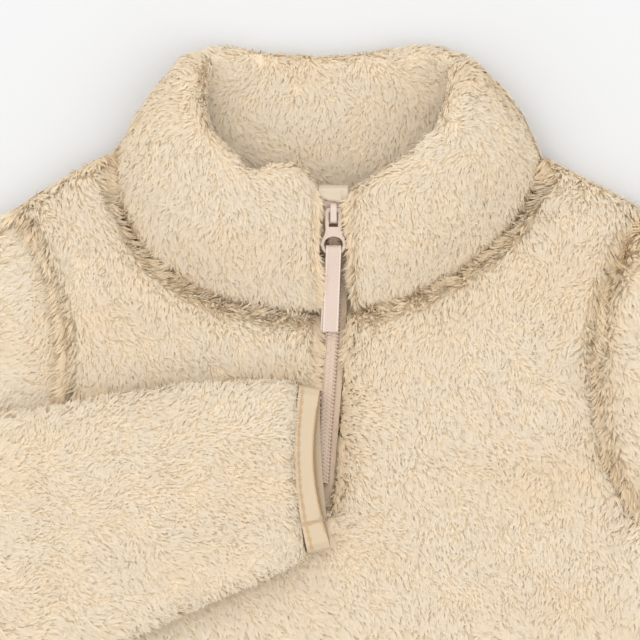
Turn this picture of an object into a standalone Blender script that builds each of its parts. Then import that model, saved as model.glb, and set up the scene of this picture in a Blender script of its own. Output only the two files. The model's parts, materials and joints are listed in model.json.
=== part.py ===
"""A toddler's half-zip pullover in deep-pile fleece, laid flat with its right sleeve folded over the front.

Metres, +Z up. The garment lies on z = 0, +Y runs from the hem to the collar, and +X is the wearer's left.
The pattern is drawn round the point where the middle of the chest crosses the level of the neck's shoulder
points. The last step moves the whole, so that the origin is the centre of its base.
"""

import math

import bmesh
import bpy
import numpy as np
from mathutils import Vector
from mathutils.geometry import delaunay_2d_cdt

MM = 0.001

# The fleece, pile and all, and the gap that two sewn pieces keep
WALL = 6.0 * MM
SEAM = 0.3 * MM
EDGE_ROUND = 5.0 * MM
EDGE_LEFT = 1.0 * MM

# The body: half widths from the middle and depths below the neck's shoulder points
FRONT_NECK_DEPTH = 60 * MM
BACK_NECK_TOP = -2.5 * MM
RIGHT_SHOULDER_RISE = 1.5 * MM
# Each half of a neckline: half width, depth, how square its curve is, and the side of the body
NECKLINES = {
    "front right": (84 * MM, FRONT_NECK_DEPTH, 2.3, -1),
    "front left": (82 * MM, FRONT_NECK_DEPTH, 1.75, 1),
    "back right": (86 * MM, 18 * MM, 2.3, -1),
    "back left": (85 * MM, 18 * MM, 2.3, 1),
}
ARMHOLE = [(122, -21), (113, -32), (105, -51), (102, -68), (101.5, -93), (107, -120), (124, -144), (152, -160)]
WAIST_HALF = 151 * MM
HEM_HALF = 155 * MM
BODY_LENGTH = 360 * MM
HEM_DIP = 5 * MM

# Where the layers of the flat garment lie
BACK_TOP = WALL
FRONT_BASE = BACK_TOP + SEAM
FRONT_TOP = FRONT_BASE + WALL
FOLD_LEVEL = FRONT_TOP + SEAM / 2
ON_TOP = FRONT_TOP + SEAM

# The sleeves, as flattened tubes
TUBE_STEPS = 14
TUBE_HIGH = FRONT_TOP
TUBE_HOLLOW = 0.8 * MM
TUBE_WALL = 6.0 * MM
CUFF_HIGH = 11.0 * MM
CUFF_HOLLOW = 5.2 * MM
CUFF_WALL = 2.0 * MM
CUFF_CUT_BACK = 3.4 * MM
BINDING_HIGH = CUFF_HOLLOW + 2 * CUFF_WALL

# The collar is folded double at its rim
COLLAR_HALF_THICK = 5.4 * MM
COLLAR_STEPS = 60

# The zip
TAPE_THICK = 0.8 * MM
TAPE_SPLIT = 0.15 * MM
TAPE_FOOT = -134 * MM
TAPE_HEAD = -18.2 * MM
COIL_HALF = 2.6 * MM
COIL_THICK = 1.5 * MM
COIL_FOOT = -125 * MM
COIL_HEAD = -27.5 * MM
SLIDER_HALF = 3.5 * MM
SLIDER_MIDDLE = -21.0 * MM
HINGE_HEIGHT = 4.9 * MM
TAB_REST_SLOPE = 13.8

# The zip's way: y, x, height of the tapes, and half the opening that the fleece leaves it
ZIP_WAY = [
    (-136.0, -3.6, 7.6, 4.6),
    (-125.0, -3.2, 7.8, 4.9),
    (-110.0, -2.3, 8.1, 5.2),
    (-95.0, -1.2, 8.3, 5.4),
    (-80.0, -0.1, 8.4, 5.5),
    (-64.0, 1.0, 8.4, 5.5),
    (-56.0, 1.2, 9.5, 5.5),
    (-46.0, 1.3, 12.1, 5.5),
    (-30.0, 1.3, 16.8, 5.5),
    (-17.0, 1.3, 20.6, 5.5),
    (-8.0, 1.3, 23.2, 5.5),
]

# The collar's sections from the zip round the wearer's right side. Each has its seam, its share of the way to
# the middle, the base's height, the rim's x, y and height, the wall's bulge and the rim's half thickness
COLLAR_ROWS = [
    ("front right", 0.977, 12.2, -4.6, -17.6, 23.5, 1.5, 5.2),
    ("front right", 0.92, 12.1, -11.0, -9.6, 25.5, 2.5, 5.4),
    ("front right", 0.84, 12.0, -22.0, -8.4, 26.5, 3.5, 5.4),
    ("front right", 0.765, 12.0, -31.0, -11.2, 26.5, 3.5, 5.4),
    ("front right", 0.6755, 11.9, -38.5, -3.0, 28.0, 4.0, 5.4),
    ("front right", 0.479, 11.9, -48.0, 6.5, 28.5, 4.5, 5.8),
    ("front right", 0.352, 11.9, -51.0, 17.5, 26.0, 5.5, 7.2),
    ("front right", 0.15, 11.8, -52.5, 26.5, 19.5, 6.0, 8.8),
    ("back right", 0.235, 6.6, -51.0, 33.0, 10.5, 1.5, 6.8),
    ("back right", 0.615, 5.4, -41.0, 36.4, 5.4, 0.0, 5.4),
    ("back right", 0.835, 5.4, -20.0, 34.0, 5.4, 0.0, 5.4),
    ("back left", 1.0, 5.4, 0.0, 33.0, 5.4, 0.0, 5.4),
    ("back left", 0.835, 5.4, 20.0, 35.0, 5.4, 0.0, 5.4),
    ("back left", 0.615, 5.4, 39.0, 37.0, 5.4, 0.0, 5.4),
    ("back left", 0.235, 6.6, 51.0, 32.5, 10.5, 1.5, 6.6),
    ("front left", 0.132, 11.8, 51.5, 24.5, 20.0, 5.5, 8.8),
    ("front left", 0.283, 11.9, 47.5, 15.0, 27.0, 4.5, 7.2),
    ("front left", 0.416, 11.9, 42.5, 5.0, 29.0, 4.5, 6.0),
    ("front left", 0.579, 11.9, 33.0, -3.2, 28.5, 4.0, 5.4),
    ("front left", 0.753, 12.0, 23.0, -9.3, 26.5, 3.5, 5.4),
    ("front left", 0.905, 12.2, 7.2, -18.2, 23.5, 1.5, 5.2),
]

# The sleeve that lies out to the side: top edge x and y, underarm edge x and y
SLEEVE_LEFT_WAY = [
    (122.0, -21.0, 152.5, -160.0),
    (134.0, -31.0, 159.0, -162.0),
    (177.0, -66.0, 165.0, -173.0),
    (237.0, -119.0, 177.0, -198.0),
    (294.0, -184.0, 220.0, -241.0),
    (331.0, -238.0, 272.0, -283.0),
    (342.0, -257.0, 298.0, -301.0),
]
BINDING_LEFT_WAY = [(342.3, -257.3, 298.3, -301.3), (347.5, -262.4, 303.5, -306.4)]

# The folded sleeve, first under the fold and then on top of the front
SLEEVE_UNDER_WAY = [
    (-122.0, -21.0, -152.5, -160.0),
    (-133.0, -31.0, -158.5, -162.0),
    (-163.0, -60.0, -162.5, -179.0),
    (-206.0, -113.0, -162.0, -210.0),
]
SLEEVE_TOP_WAY = [
    (-206.0, -113.0, -162.0, -210.0),
    (-180.0, -106.5, -140.0, -202.5),
    (-150.0, -101.5, -118.0, -197.0),
    (-113.0, -96.5, -92.0, -189.0),
    (-85.0, -91.0, -66.0, -179.0),
    (-57.0, -87.3, -44.0, -169.0),
    (-33.0, -85.6, -24.0, -160.5),
    (-12.0, -85.6, -8.8, -152.4),
]
BINDING_RIGHT_WAY = [(-11.7, -87.2, -8.4, -151.4), (-3.8, -88.4, 0.4, -149.4)]

# Soft troughs in the cloth: start x and y, end x and y, half width, depth
FRONT_TROUGHS = [
    (-86, -44, -60, -86, 9, 1.6),
    (60, -52, 20, -84, 10, 1.5),
    (88, -36, 72, -120, 11, 1.4),
    (40, -120, 118, -190, 13, 1.3),
    (-120, -236, -40, -262, 13, 1.2),
    (30, -250, 110, -285, 14, 1.3),
]
FOREARM_TROUGHS = [
    (-4, -140, -34, -145.5, 7, 2.6),
    (-34, -145.5, -64, -154, 8, 2.4),
    (-64, -154, -84, -161, 9, 1.6),
    (-150, -120, -120, -160, 12, 1.5),
]
SLEEVE_LEFT_TROUGHS = [
    (160, -120, 196, -160, 11, 1.6),
    (236, -150, 214, -214, 10, 1.5),
    (286, -206, 262, -250, 9, 1.4),
]


def sampled(rows, fractions):
    """Rows of a table read as a smooth curve (Catmull-Rom) at these fractions of its length in x and y."""
    rows = np.array(rows, float)
    padded = np.vstack([2 * rows[0] - rows[1], rows, 2 * rows[-1] - rows[-2]])
    fine = []
    for a, b, c, d in zip(padded, padded[1:], padded[2:], padded[3:]):
        for t in np.linspace(0, 1, 24, endpoint=False):
            bend = (2 * a - 5 * b + 4 * c - d) * t**2 + (3 * b - a - 3 * c + d) * t**3
            fine.append(0.5 * (2 * b + (c - a) * t + bend))
    fine = np.array(fine + [rows[-1]])
    steps = np.linalg.norm(np.diff(fine[:, :2], axis=0), axis=1)
    along = np.concatenate([[0], np.cumsum(steps)]) / steps.sum()
    return np.stack([np.interp(fractions, along, column) for column in fine.T], 1)


def crowded(steps):
    """Fractions from 0 to 1, close together at both ends."""
    return (1 - np.cos(np.linspace(0, math.pi, steps + 1))) / 2


def trough_depth(troughs, x, y):
    """How deep the cloth dips at a point, from a table of troughs in millimetres."""
    deepest = 0.0
    here = np.array([x, y]) / MM
    for x0, y0, x1, y1, half, depth in troughs:
        start, run = np.array([x0, y0]), np.array([x1 - x0, y1 - y0])
        t = np.clip((here - start) @ run / (run @ run), 0, 1)
        off = np.linalg.norm(here - start - t * run) / half
        deepest = max(deepest, depth * MM * math.exp(-off * off))
    return deepest


def zip_at(y):
    """The zip's x, the height of its tapes and half its opening, at this y."""
    rows = np.array(ZIP_WAY) * MM
    return [float(np.interp(y, rows[:, 0], rows[:, column])) for column in (1, 2, 3)]


# The pattern's outlines


def neckline(which, shares):
    """Points of half a neckline, from the shoulder point at share 0 to the middle at 1."""
    half, depth, power, side = NECKLINES[which]
    angles = np.array(shares) * math.pi / 2
    x = side * half * np.abs(np.cos(angles)) ** (2 / power)
    y = -depth * np.abs(np.sin(angles)) ** (2 / power)
    if "back" in which:
        y += BACK_NECK_TOP
    elif side < 0:
        y += RIGHT_SHOULDER_RISE * (1 - np.sin(angles)) ** 2
    return np.stack([x, y], 1)


def collar_foot(which, share):
    """Where the middle of the collar's wall stands: half its thickness and a seam's gap inside the neckline."""
    before, here, after = neckline(which, [share - 0.002, share, share + 0.002])
    tangent = (after - before) / np.linalg.norm(after - before)
    normal = np.array([-tangent[1], tangent[0]])
    if normal[1] < 0:
        normal = -normal
    clear = SEAM + 0.1 * MM + 1.6 * MM * (1 - share) ** 2
    return here + normal * (COLLAR_HALF_THICK + clear)


def armhole(moved_out=0.0):
    """The wearer's left armhole seam from shoulder to underarm, or a line this far outside it."""
    way = sampled(np.array(ARMHOLE) * MM, crowded(TUBE_STEPS))
    tangent = np.gradient(way, axis=0)
    normal = np.stack([-tangent[:, 1], tangent[:, 0]], 1) / np.linalg.norm(tangent, axis=1)[:, None]
    return way + normal * moved_out


def mirrored(points):
    return np.array(points) * (-1, 1)


def side_and_hem():
    """From the left underarm down the side, along the hem and up to the right underarm."""
    underarm = np.array(ARMHOLE[-1]) * MM
    waist, corner = (WAIST_HALF, -0.72 * BODY_LENGTH), (HEM_HALF, -BODY_LENGTH)
    side = sampled([underarm, waist, corner], np.linspace(0, 1, 17))[1:]
    hem = []
    for x in np.linspace(HEM_HALF, -HEM_HALF, 27)[1:-1]:
        hem.append((x, -BODY_LENGTH - HEM_DIP * (1 - (x / HEM_HALF) ** 2)))
    return np.vstack([side, hem, mirrored(side[::-1])])


def shoulder_line(neck_point, side):
    """Points between the neck's shoulder point and the sleeve's. The right shoulder is pulled up a little."""
    end = np.array(ARMHOLE[0]) * MM * (side, 1)
    rise = RIGHT_SHOULDER_RISE if side < 0 else 0
    line = []
    for t in (0.25, 0.5, 0.75):
        line.append(neck_point + (end - neck_point) * t + (0, rise * 4 * t * (1 - t) * 0.6))
    return np.array(line)


def back_outline():
    left = neckline("back left", np.linspace(0, 1, 12))
    right = neckline("back right", np.linspace(0, 1, 12))
    left_half = np.vstack([left[::-1], shoulder_line(left[0], 1), armhole()])
    right_half = np.vstack([mirrored(armhole()[::-1]), shoulder_line(right[0], -1)[::-1], right[:-1]])
    return np.vstack([left_half, side_and_hem()[:-1], right_half])


def front_outline():
    """The neckline runs into a narrow slit, which the zip fills."""
    left = neckline("front left", np.linspace(0, 0.9, 14))
    right = neckline("front right", np.linspace(0, 0.93, 14))
    slit_left, slit_right = [], []
    for y in np.linspace(-FRONT_NECK_DEPTH + 0.1 * MM, -136 * MM, 12):
        x, _, half = zip_at(y)
        slit_left.append((x + half, y))
        slit_right.append((x - half, y))
    left_half = np.vstack([slit_left[::-1], left[::-1], shoulder_line(left[0], 1), armhole()])
    right_half = np.vstack([mirrored(armhole()[::-1]), shoulder_line(right[0], -1)[::-1], right, slit_right])
    return np.vstack([left_half, side_and_hem()[:-1], right_half])


# Making meshes


def new_piece(name, verts, faces, material):
    """A closed mesh as an object, in triangles that face out."""
    mesh = bpy.data.meshes.new(name)
    mesh.from_pydata([tuple(v) for v in verts], [], [tuple(f) for f in faces])
    work = bmesh.new()
    work.from_mesh(mesh)
    bmesh.ops.recalc_face_normals(work, faces=work.faces)
    bmesh.ops.triangulate(work, faces=work.faces)
    if work.calc_volume(signed=True) < 0:
        bmesh.ops.reverse_faces(work, faces=work.faces)
    work.to_mesh(mesh)
    work.free()
    mesh.shade_smooth()
    mesh.set_sharp_from_angle(angle=math.radians(50))
    mesh.materials.append(material)
    piece = bpy.data.objects.new(name, mesh)
    bpy.context.scene.collection.objects.link(piece)
    return piece


def finish(name, colour, roughness, metallic=0.0):
    material = bpy.data.materials.new(name)
    material.use_nodes = True
    shader = material.node_tree.nodes["Principled BSDF"]
    shader.inputs["Base Color"].default_value = (*colour, 1)
    shader.inputs["Roughness"].default_value = roughness
    shader.inputs["Metallic"].default_value = metallic
    return material


def distance_to(loop, points):
    """How far each point is from a closed outline."""
    start, run = loop, np.roll(loop, -1, axis=0) - loop
    to_point = points[:, None, :] - start[None, :, :]
    t = np.clip((to_point * run).sum(2) / (run * run).sum(1), 0, 1)
    return np.linalg.norm(to_point - t[:, :, None] * run, axis=2).min(1)


def inside(loop, points):
    """Which points a closed outline holds, by counting the edges to their right."""
    start, end = loop, np.roll(loop, -1, axis=0)
    x, y = points[:, 0][:, None], points[:, 1][:, None]
    crosses = (start[:, 1] > y) != (end[:, 1] > y)
    rise = np.where(end[:, 1] == start[:, 1], 1e-12, end[:, 1] - start[:, 1])
    at = start[:, 0] + (y - start[:, 1]) / rise * (end[:, 0] - start[:, 0])
    return (crosses & (x < at)).sum(1) % 2 == 1


def filled(loop, extra):
    """The outline's inside as triangles over its own points, which come first, and these further ones."""
    points = [Vector(p) for p in loop] + [Vector(p) for p in extra]
    edges = [(i, (i + 1) % len(loop)) for i in range(len(loop))]
    _, _, faces, came_from, _, _ = delaunay_2d_cdt(points, edges, [], 1, 1e-7)
    return [tuple(came_from[i][0] for i in face) for face in faces]


def counter_clockwise(loop):
    twice_area = (loop[:, 0] * np.roll(loop[:, 1], -1) - np.roll(loop[:, 0], -1) * loop[:, 1]).sum()
    return loop if twice_area > 0 else loop[::-1]


def cloth_slab(name, loop, plain_z, shaped_z, spacing, material):
    """A laid panel: one face plain at plain_z, the other at shaped_z(x, y, inset), rounded off at the edge."""
    loop = counter_clockwise(loop)
    tangent = np.roll(loop, -1, axis=0) - np.roll(loop, 1, axis=0)
    inward = np.stack([-tangent[:, 1], tangent[:, 0]], 1) / np.linalg.norm(tangent, axis=1)[:, None]
    extra = []
    for inset in (0.3 * EDGE_ROUND, EDGE_ROUND):
        ring = loop + inward * inset
        extra.append(ring[inside(loop, ring) & (distance_to(loop, ring) > 0.9 * inset)])
    low, high = loop.min(0), loop.max(0)
    grid = []
    for row, y in enumerate(np.arange(low[1], high[1], spacing * 0.87)):
        for x in np.arange(low[0] + spacing / 2 * (row % 2), high[0], spacing):
            grid.append((x, y))
    grid = np.array(grid)
    extra.append(grid[inside(loop, grid) & (distance_to(loop, grid) > EDGE_ROUND + 0.4 * spacing)])
    extra = np.vstack(extra)
    points = np.vstack([loop, extra])
    insets = distance_to(loop, points)
    insets[: len(loop)] = 0
    verts = [(x, y, shaped_z(x, y, inset)) for (x, y), inset in zip(points, insets)]
    start, count = len(verts), len(loop)
    verts += [(x, y, plain_z) for x, y in loop]
    faces = filled(loop, extra)
    faces += [tuple(start + i for i in face) for face in filled(loop, [])]
    faces += [(i, (i + 1) % count, start + (i + 1) % count, start + i) for i in range(count)]
    return new_piece(name, verts, faces, material)


def thin_sheet(name, loop, height, thick, material):
    """A small piece of cloth with this outline, whose middle is at height(x, y)."""
    loop = counter_clockwise(np.array(loop, float))
    count = len(loop)
    verts = [(x, y, height(x, y) + side * thick / 2) for side in (1, -1) for x, y in loop]
    flat = filled(loop, [])
    faces = flat + [tuple(count + i for i in face) for face in flat]
    faces += [(i, (i + 1) % count, count + (i + 1) % count, count + i) for i in range(count)]
    return new_piece(name, verts, faces, material)


def rounding(inset, radius=EDGE_ROUND):
    """How far a face drops this near a panel's edge, as a quarter circle."""
    short = max(0.0, radius - inset)
    return radius - math.sqrt(radius * radius - short * short)


def joined_rings(rings, offset=0, flip=False):
    """Quads between neighbouring rings of equal length."""
    size = len(rings[0])
    faces = []
    for i in range(len(rings) - 1):
        for j in range(size):
            a = offset + i * size + j
            b = offset + i * size + (j + 1) % size
            quad = (a, b, b + size, a + size)
            faces.append(quad[::-1] if flip else quad)
    return faces


def skinned(name, rings, material):
    """A solid through rings, with a face over each end."""
    size = len(rings[0])
    verts = [p for ring in rings for p in ring]
    last = (len(rings) - 1) * size
    faces = joined_rings(rings) + [tuple(range(size))[::-1], tuple(range(last, last + size))]
    return new_piece(name, verts, faces, material)


def open_tube(name, outer, inner, material):
    """A hollow solid through outer and inner rings, open at both ends."""
    size = len(outer[0])
    verts = [p for ring in outer for p in ring] + [p for ring in inner for p in ring]
    start = len(outer) * size
    faces = joined_rings(outer) + joined_rings(inner, start, True)
    for first in (0, (len(outer) - 1) * size):
        for j in range(size):
            a, b = first + j, first + (j + 1) % size
            faces.append((a, b, start + b, start + a))
    return new_piece(name, verts, faces, material)


# The body


def front_face(x, y, inset):
    top = FRONT_TOP - trough_depth(FRONT_TROUGHS, x, y) * min(1.0, inset / EDGE_ROUND)
    return max(top - rounding(inset), FRONT_BASE + EDGE_LEFT)


def back_face(x, y, inset):
    return min(rounding(inset), BACK_TOP - EDGE_LEFT)


def make_body(fleece):
    cloth_slab("front_panel", front_outline(), FRONT_BASE, front_face, 14 * MM, fleece)
    cloth_slab("back_panel", back_outline(), BACK_TOP, back_face, 40 * MM, fleece)


# The collar


def wall_section(base, rim, inward, bulge, foot_half, rim_half):
    """A collar's section: a wall from base to rim with both ends round, bulging away from the neck."""
    lift = rim - base
    height = np.linalg.norm(lift)
    lift = lift / height
    outline = []
    for a in np.linspace(-math.pi / 2, math.pi / 2, 6):
        outline.append((-foot_half * math.cos(a), foot_half * math.sin(a)))
    for t in (0.25, 0.5, 0.75):
        outline.append((t * height, foot_half + (rim_half - foot_half) * t))
    for a in np.linspace(math.pi / 2, -math.pi / 2, 8):
        outline.append((height + rim_half * math.cos(a), rim_half * math.sin(a)))
    for t in (0.75, 0.5, 0.25):
        outline.append((t * height, -foot_half - (rim_half - foot_half) * t))
    ring = []
    for along, side in outline:
        t = min(1.0, max(0.0, along / height))
        point = base + lift * along + inward * (side - bulge * 4 * t * (1 - t))
        ring.append((point[0], point[1], max(0.0, point[2])))
    return ring


def make_collar(fleece):
    """One wall from the zip's one side round the neck to its other side."""
    table = []
    for which, share, foot_z, rim_x, rim_y, rim_z, bulge, rim_half in COLLAR_ROWS:
        foot = collar_foot(which, share)
        sizes = np.array([foot_z, rim_x, rim_y, rim_z, bulge, rim_half]) * MM
        table.append((foot[0], foot[1], *sizes))
    ends = [0.0, 0.006, 0.016]
    shares = ends + list(np.linspace(0.03, 0.97, COLLAR_STEPS)) + [1 - e for e in ends[::-1]]
    rows = sampled(table, shares)
    base, rim = rows[:, 0:3], rows[:, 3:6]
    tangent = np.gradient((base + rim) / 2, axis=0)
    rings = []
    for i, share in enumerate(shares):
        inward = np.cross(tangent[i], rim[i] - base[i])
        inward = inward / np.linalg.norm(inward)
        from_end = min(1.0, min(share, 1 - share) / 0.016)
        slim = 0.55 + 0.45 * math.sqrt(1 - (1 - from_end) ** 2)
        bulge, rim_half = rows[i, 6:8]
        rings.append(wall_section(base[i], rim[i], inward, bulge, COLLAR_HALF_THICK * slim, rim_half * slim))
    return skinned("collar", rings, fleece)


# The sleeves


def tube_section(a, b, up, high, hollow, wall, bow, cut_back):
    """Outer and inner ring of a flattened tube between its edge points a and b.

    Each point may be moved in plan: both sides by bow, and the upper side alone by cut_back.
    """
    width = np.linalg.norm(b - a)
    half = high / 2
    shares = crowded(TUBE_STEPS)
    outer, inner = [], []
    for side in (1, -1):
        order = range(TUBE_STEPS + 1) if side == 1 else range(TUBE_STEPS - 1, 0, -1)
        for k in order:
            edge = min(shares[k], 1 - shares[k])
            short = max(0.0, half - edge * width)
            lift = up * side * math.sqrt(max(0.0, half * half - short * short))
            upper = side * up[2] > 0
            move = bow[k] + (cut_back * math.sin(math.pi * shares[k]) if upper else 0)
            outer.append(a + (b - a) * shares[k] + lift + move)
            reach = (wall + shares[k] * (width - 2 * wall)) / width
            inner.append(a + (b - a) * reach + up * side * hollow / 2 * min(1.0, 6 * edge) + move)
    return outer, inner


def spot(x, y, z):
    return np.array([x, y, z])


def seam_rows(way, seam, shares):
    """A sleeve's sections from the armhole on, each with its height and its bow.

    The cloth thins towards the seam, and the seam's curve dies away down the sleeve.
    """
    rows = sampled(np.array(way) * MM, shares)
    rows[0, 0:2], rows[0, 2:4] = seam[0], seam[-1]
    straight = np.array([seam[0] + (seam[-1] - seam[0]) * share for share in crowded(TUBE_STEPS)])
    bow = np.hstack([seam - straight, np.zeros((len(seam), 1))])
    run = np.linalg.norm(np.diff(rows[:, 0:2], axis=0), axis=1).sum()
    sections = []
    for row, share in zip(rows, shares):
        high = TUBE_HIGH - 1.15 * rounding(share * run)
        sections.append((row, high, bow * max(0.0, 1 - share * 2.2) ** 1.5))
    return sections


def dented(ring, troughs, middle):
    """A ring whose upper side dips into the troughs."""
    moved = []
    for point in ring:
        dip = trough_depth(troughs, point[0], point[1]) if point[2] > middle + 1 * MM else 0
        moved.append(point - spot(0, 0, dip))
    return moved


def make_sleeve_left(fleece):
    """The sleeve that lies out to the side."""
    shares = [0, 0.006, 0.016] + list(np.linspace(0.05, 0.97, 14)) + [1.0]
    outer, inner = [], []
    for share, (row, high, bow) in zip(shares, seam_rows(SLEEVE_LEFT_WAY, armhole(SEAM), shares)):
        near_cuff = max(0.0, (share - 0.86) / 0.14) ** 2
        high += (CUFF_HIGH - high) * near_cuff
        middle = TUBE_HIGH / 2 + (CUFF_HIGH - TUBE_HIGH) / 2 * near_cuff
        hollow = TUBE_HOLLOW + (CUFF_HOLLOW - TUBE_HOLLOW) * near_cuff
        wall = TUBE_WALL - (TUBE_WALL - CUFF_WALL) * near_cuff
        sink = (BINDING_HIGH / 2 - middle) * near_cuff
        a, b = spot(row[0], row[1], middle), spot(row[2], row[3], middle)
        ring, hole = tube_section(a, b, spot(0, 0, 1), high, hollow, wall, bow, spot(0, 0, 0))
        outer.append(dented(ring, SLEEVE_LEFT_TROUGHS, middle))
        inner.append([point + spot(0, 0, sink) for point in hole])
    return open_tube("sleeve_left", outer, inner, fleece)


def make_sleeve_right(fleece):
    """The folded sleeve: out to the fold, over it, and back over the front to the cuff."""
    no_bow = np.zeros((TUBE_STEPS + 1, 3))
    nowhere = spot(0, 0, 0)
    outer, inner = [], []
    shares = [0, 0.012, 0.035, 0.1, 0.3, 0.55, 0.8]
    for row, high, bow in seam_rows(SLEEVE_UNDER_WAY, mirrored(armhole(SEAM)), shares):
        a, b = spot(row[0], row[1], TUBE_HIGH / 2), spot(row[2], row[3], TUBE_HIGH / 2)
        ring, hole = tube_section(a, b, spot(0, 0, 1), high, TUBE_HOLLOW, TUBE_WALL, bow, nowhere)
        outer.append(ring)
        inner.append(hole)
    fold = np.array(SLEEVE_TOP_WAY[0]) * MM
    along = fold[2:4] - fold[0:2]
    out = spot(along[1], -along[0], 0) / np.linalg.norm(along)
    for angle in np.radians([0, 36, 72, 108, 144, 180]):
        turn = out * math.sin(angle) - spot(0, 0, 1) * math.cos(angle)
        reach = TUBE_HIGH / 2 + SEAM / 2 + 1.2 * MM * math.sin(angle)
        a = spot(fold[0], fold[1], FOLD_LEVEL) + turn * reach
        b = spot(fold[2], fold[3], FOLD_LEVEL) + turn * reach
        ring, hole = tube_section(a, b, -turn, TUBE_HIGH, TUBE_HOLLOW, TUBE_WALL, no_bow, nowhere)
        outer.append(ring)
        inner.append(hole)
    shares = list(np.linspace(0.08, 0.92, 13)) + [0.965, 0.99, 1.0]
    for row, share in zip(sampled(np.array(SLEEVE_TOP_WAY) * MM, shares), shares):
        near_cuff = max(0.0, (share - 0.8) / 0.2) ** 2
        high = TUBE_HIGH + (CUFF_HIGH - TUBE_HIGH) * near_cuff - 1.2 * MM * max(0.0, (share - 0.97) / 0.03)
        hollow = TUBE_HOLLOW + (CUFF_HOLLOW - TUBE_HOLLOW) * near_cuff
        wall = TUBE_WALL - (TUBE_WALL - CUFF_WALL) * near_cuff
        middle = ON_TOP + high / 2
        sink = (ON_TOP + BINDING_HIGH / 2 - middle) * near_cuff
        back = spot(-CUFF_CUT_BACK * near_cuff, 0, 0)
        a, b = spot(row[0], row[1], middle), spot(row[2], row[3], middle)
        ring, hole = tube_section(a, b, spot(0, 0, -1), high, hollow, wall, no_bow, back)
        outer.append(dented(ring, FOREARM_TROUGHS, middle))
        inner.append([point + spot(0, 0, sink) for point in hole])
    return open_tube("sleeve_right", outer, inner, fleece)


def make_binding(name, way, base_z, cut_back, material):
    """The elastic that binds a cuff, from the fleece's end out."""
    no_bow = np.zeros((TUBE_STEPS + 1, 3))
    middle = base_z + BINDING_HIGH / 2
    outer, inner = [], []
    start, end = np.array(way[0]) * MM, np.array(way[1]) * MM
    for share, plump in ((0, 0.86), (0.12, 1.0), (0.5, 1.0), (0.88, 1.0), (1.0, 0.86)):
        row = start + (end - start) * share
        a, b = spot(row[0], row[1], middle), spot(row[2], row[3], middle)
        high = CUFF_HOLLOW + 2 * CUFF_WALL * plump
        back = spot(-cut_back, 0, 0)
        ring, hole = tube_section(a, b, spot(0, 0, 1), high, CUFF_HOLLOW, CUFF_WALL, no_bow, back)
        outer.append(ring)
        inner.append(hole)
    return open_tube(name, outer, inner, material)


# The zip


def make_tapes(cloth):
    """Two woven tapes, each from the slit's edge to the zip's middle."""
    for name, side in (("zip_tape_left", 1), ("zip_tape_right", -1)):
        rings = []
        for y in np.linspace(TAPE_FOOT, TAPE_HEAD, 34):
            x, z, half = zip_at(y)
            near, far = x + side * TAPE_SPLIT, x + side * (half - SEAM)
            low, high = z - TAPE_THICK / 2, z + TAPE_THICK / 2
            rings.append([(near, y, low), (far, y, low), (far, y, high), (near, y, high)])
        skinned(name, rings, cloth)


def make_coil(nylon):
    """The closed chain, as one strip."""
    section = [(-1, 0), (1, 0), (1, 0.6), (0.6, 1), (-0.6, 1), (-1, 0.6)]
    rings = []
    for y in np.linspace(COIL_FOOT, COIL_HEAD, 30):
        x, z, _ = zip_at(y)
        z += TAPE_THICK / 2 + SEAM
        rings.append([(x + COIL_HALF * u, y, z + COIL_THICK * v) for u, v in section])
    skinned("zip_coil", rings, nylon)


class ZipFrame:
    """Axes on the sloping zip: x across, s down the zip and n out of the cloth."""

    def __init__(self, origin, slope):
        self.origin = origin
        self.down = spot(0, -math.cos(slope), -math.sin(slope))
        self.out = spot(0, -math.sin(slope), math.cos(slope))

    def point(self, x, s, n):
        return self.origin + spot(x, 0, 0) + self.down * s + self.out * n


def slider_frame():
    x, z, _ = zip_at(SLIDER_MIDDLE)
    lower, upper = zip_at(-30 * MM)[1], zip_at(-17 * MM)[1]
    return ZipFrame(spot(x, SLIDER_MIDDLE, z), math.atan2(upper - lower, 13 * MM))


def puller_frame():
    """The puller's axes, with its hinge at the origin."""
    hinge = slider_frame().point(0, -1.4 * MM, HINGE_HEIGHT)
    return ZipFrame(hinge, math.radians(TAB_REST_SLOPE))


def side_profile(name, frame, outline, half, material):
    """A profile drawn in s and n, as wide as twice half."""
    rings = []
    for x in (-half, half):
        rings.append([frame.point(x, s * MM, n * MM) for s, n in outline])
    return skinned(name, rings, material)


def joined(first, second):
    """The union of two overlapping pieces, under the first one's name."""
    modifier = first.modifiers.new("join", "BOOLEAN")
    modifier.operation = "UNION"
    modifier.solver = "EXACT"
    modifier.object = second
    bpy.context.view_layer.update()
    graph = bpy.context.evaluated_depsgraph_get()
    mesh = bpy.data.meshes.new_from_object(first.evaluated_get(graph))
    bpy.data.objects.remove(second)
    first.modifiers.clear()
    first.data = mesh
    return first


def make_slider(metal):
    """Two plates joined by a wedge at the top end, and a bridge on the upper plate."""
    plates = [
        # s and n
        (-4.4, -1.8), (4.2, -1.8), (4.7, -1.3), (4.7, -0.7), (-3.2, -0.7), (-3.2, 2.5),
        (4.7, 2.5), (4.7, 3.1), (4.2, 3.6), (-4.4, 3.6), (-5.0, 3.0), (-5.0, -1.2),
    ]
    bridge = [
        (-3.9, 3.3), (-3.9, 6.0), (-3.1, 7.1), (2.4, 7.1), (3.4, 6.1), (3.4, 3.3),
        (2.4, 3.3), (2.4, 5.7), (2.0, 6.3), (-2.4, 6.3), (-2.9, 5.7), (-2.9, 3.3),
    ]
    body = side_profile("zip_slider", slider_frame(), plates, SLIDER_HALF, metal)
    arch = side_profile("bridge", slider_frame(), bridge, 1.2 * MM, metal)
    return joined(body, arch)


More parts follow.
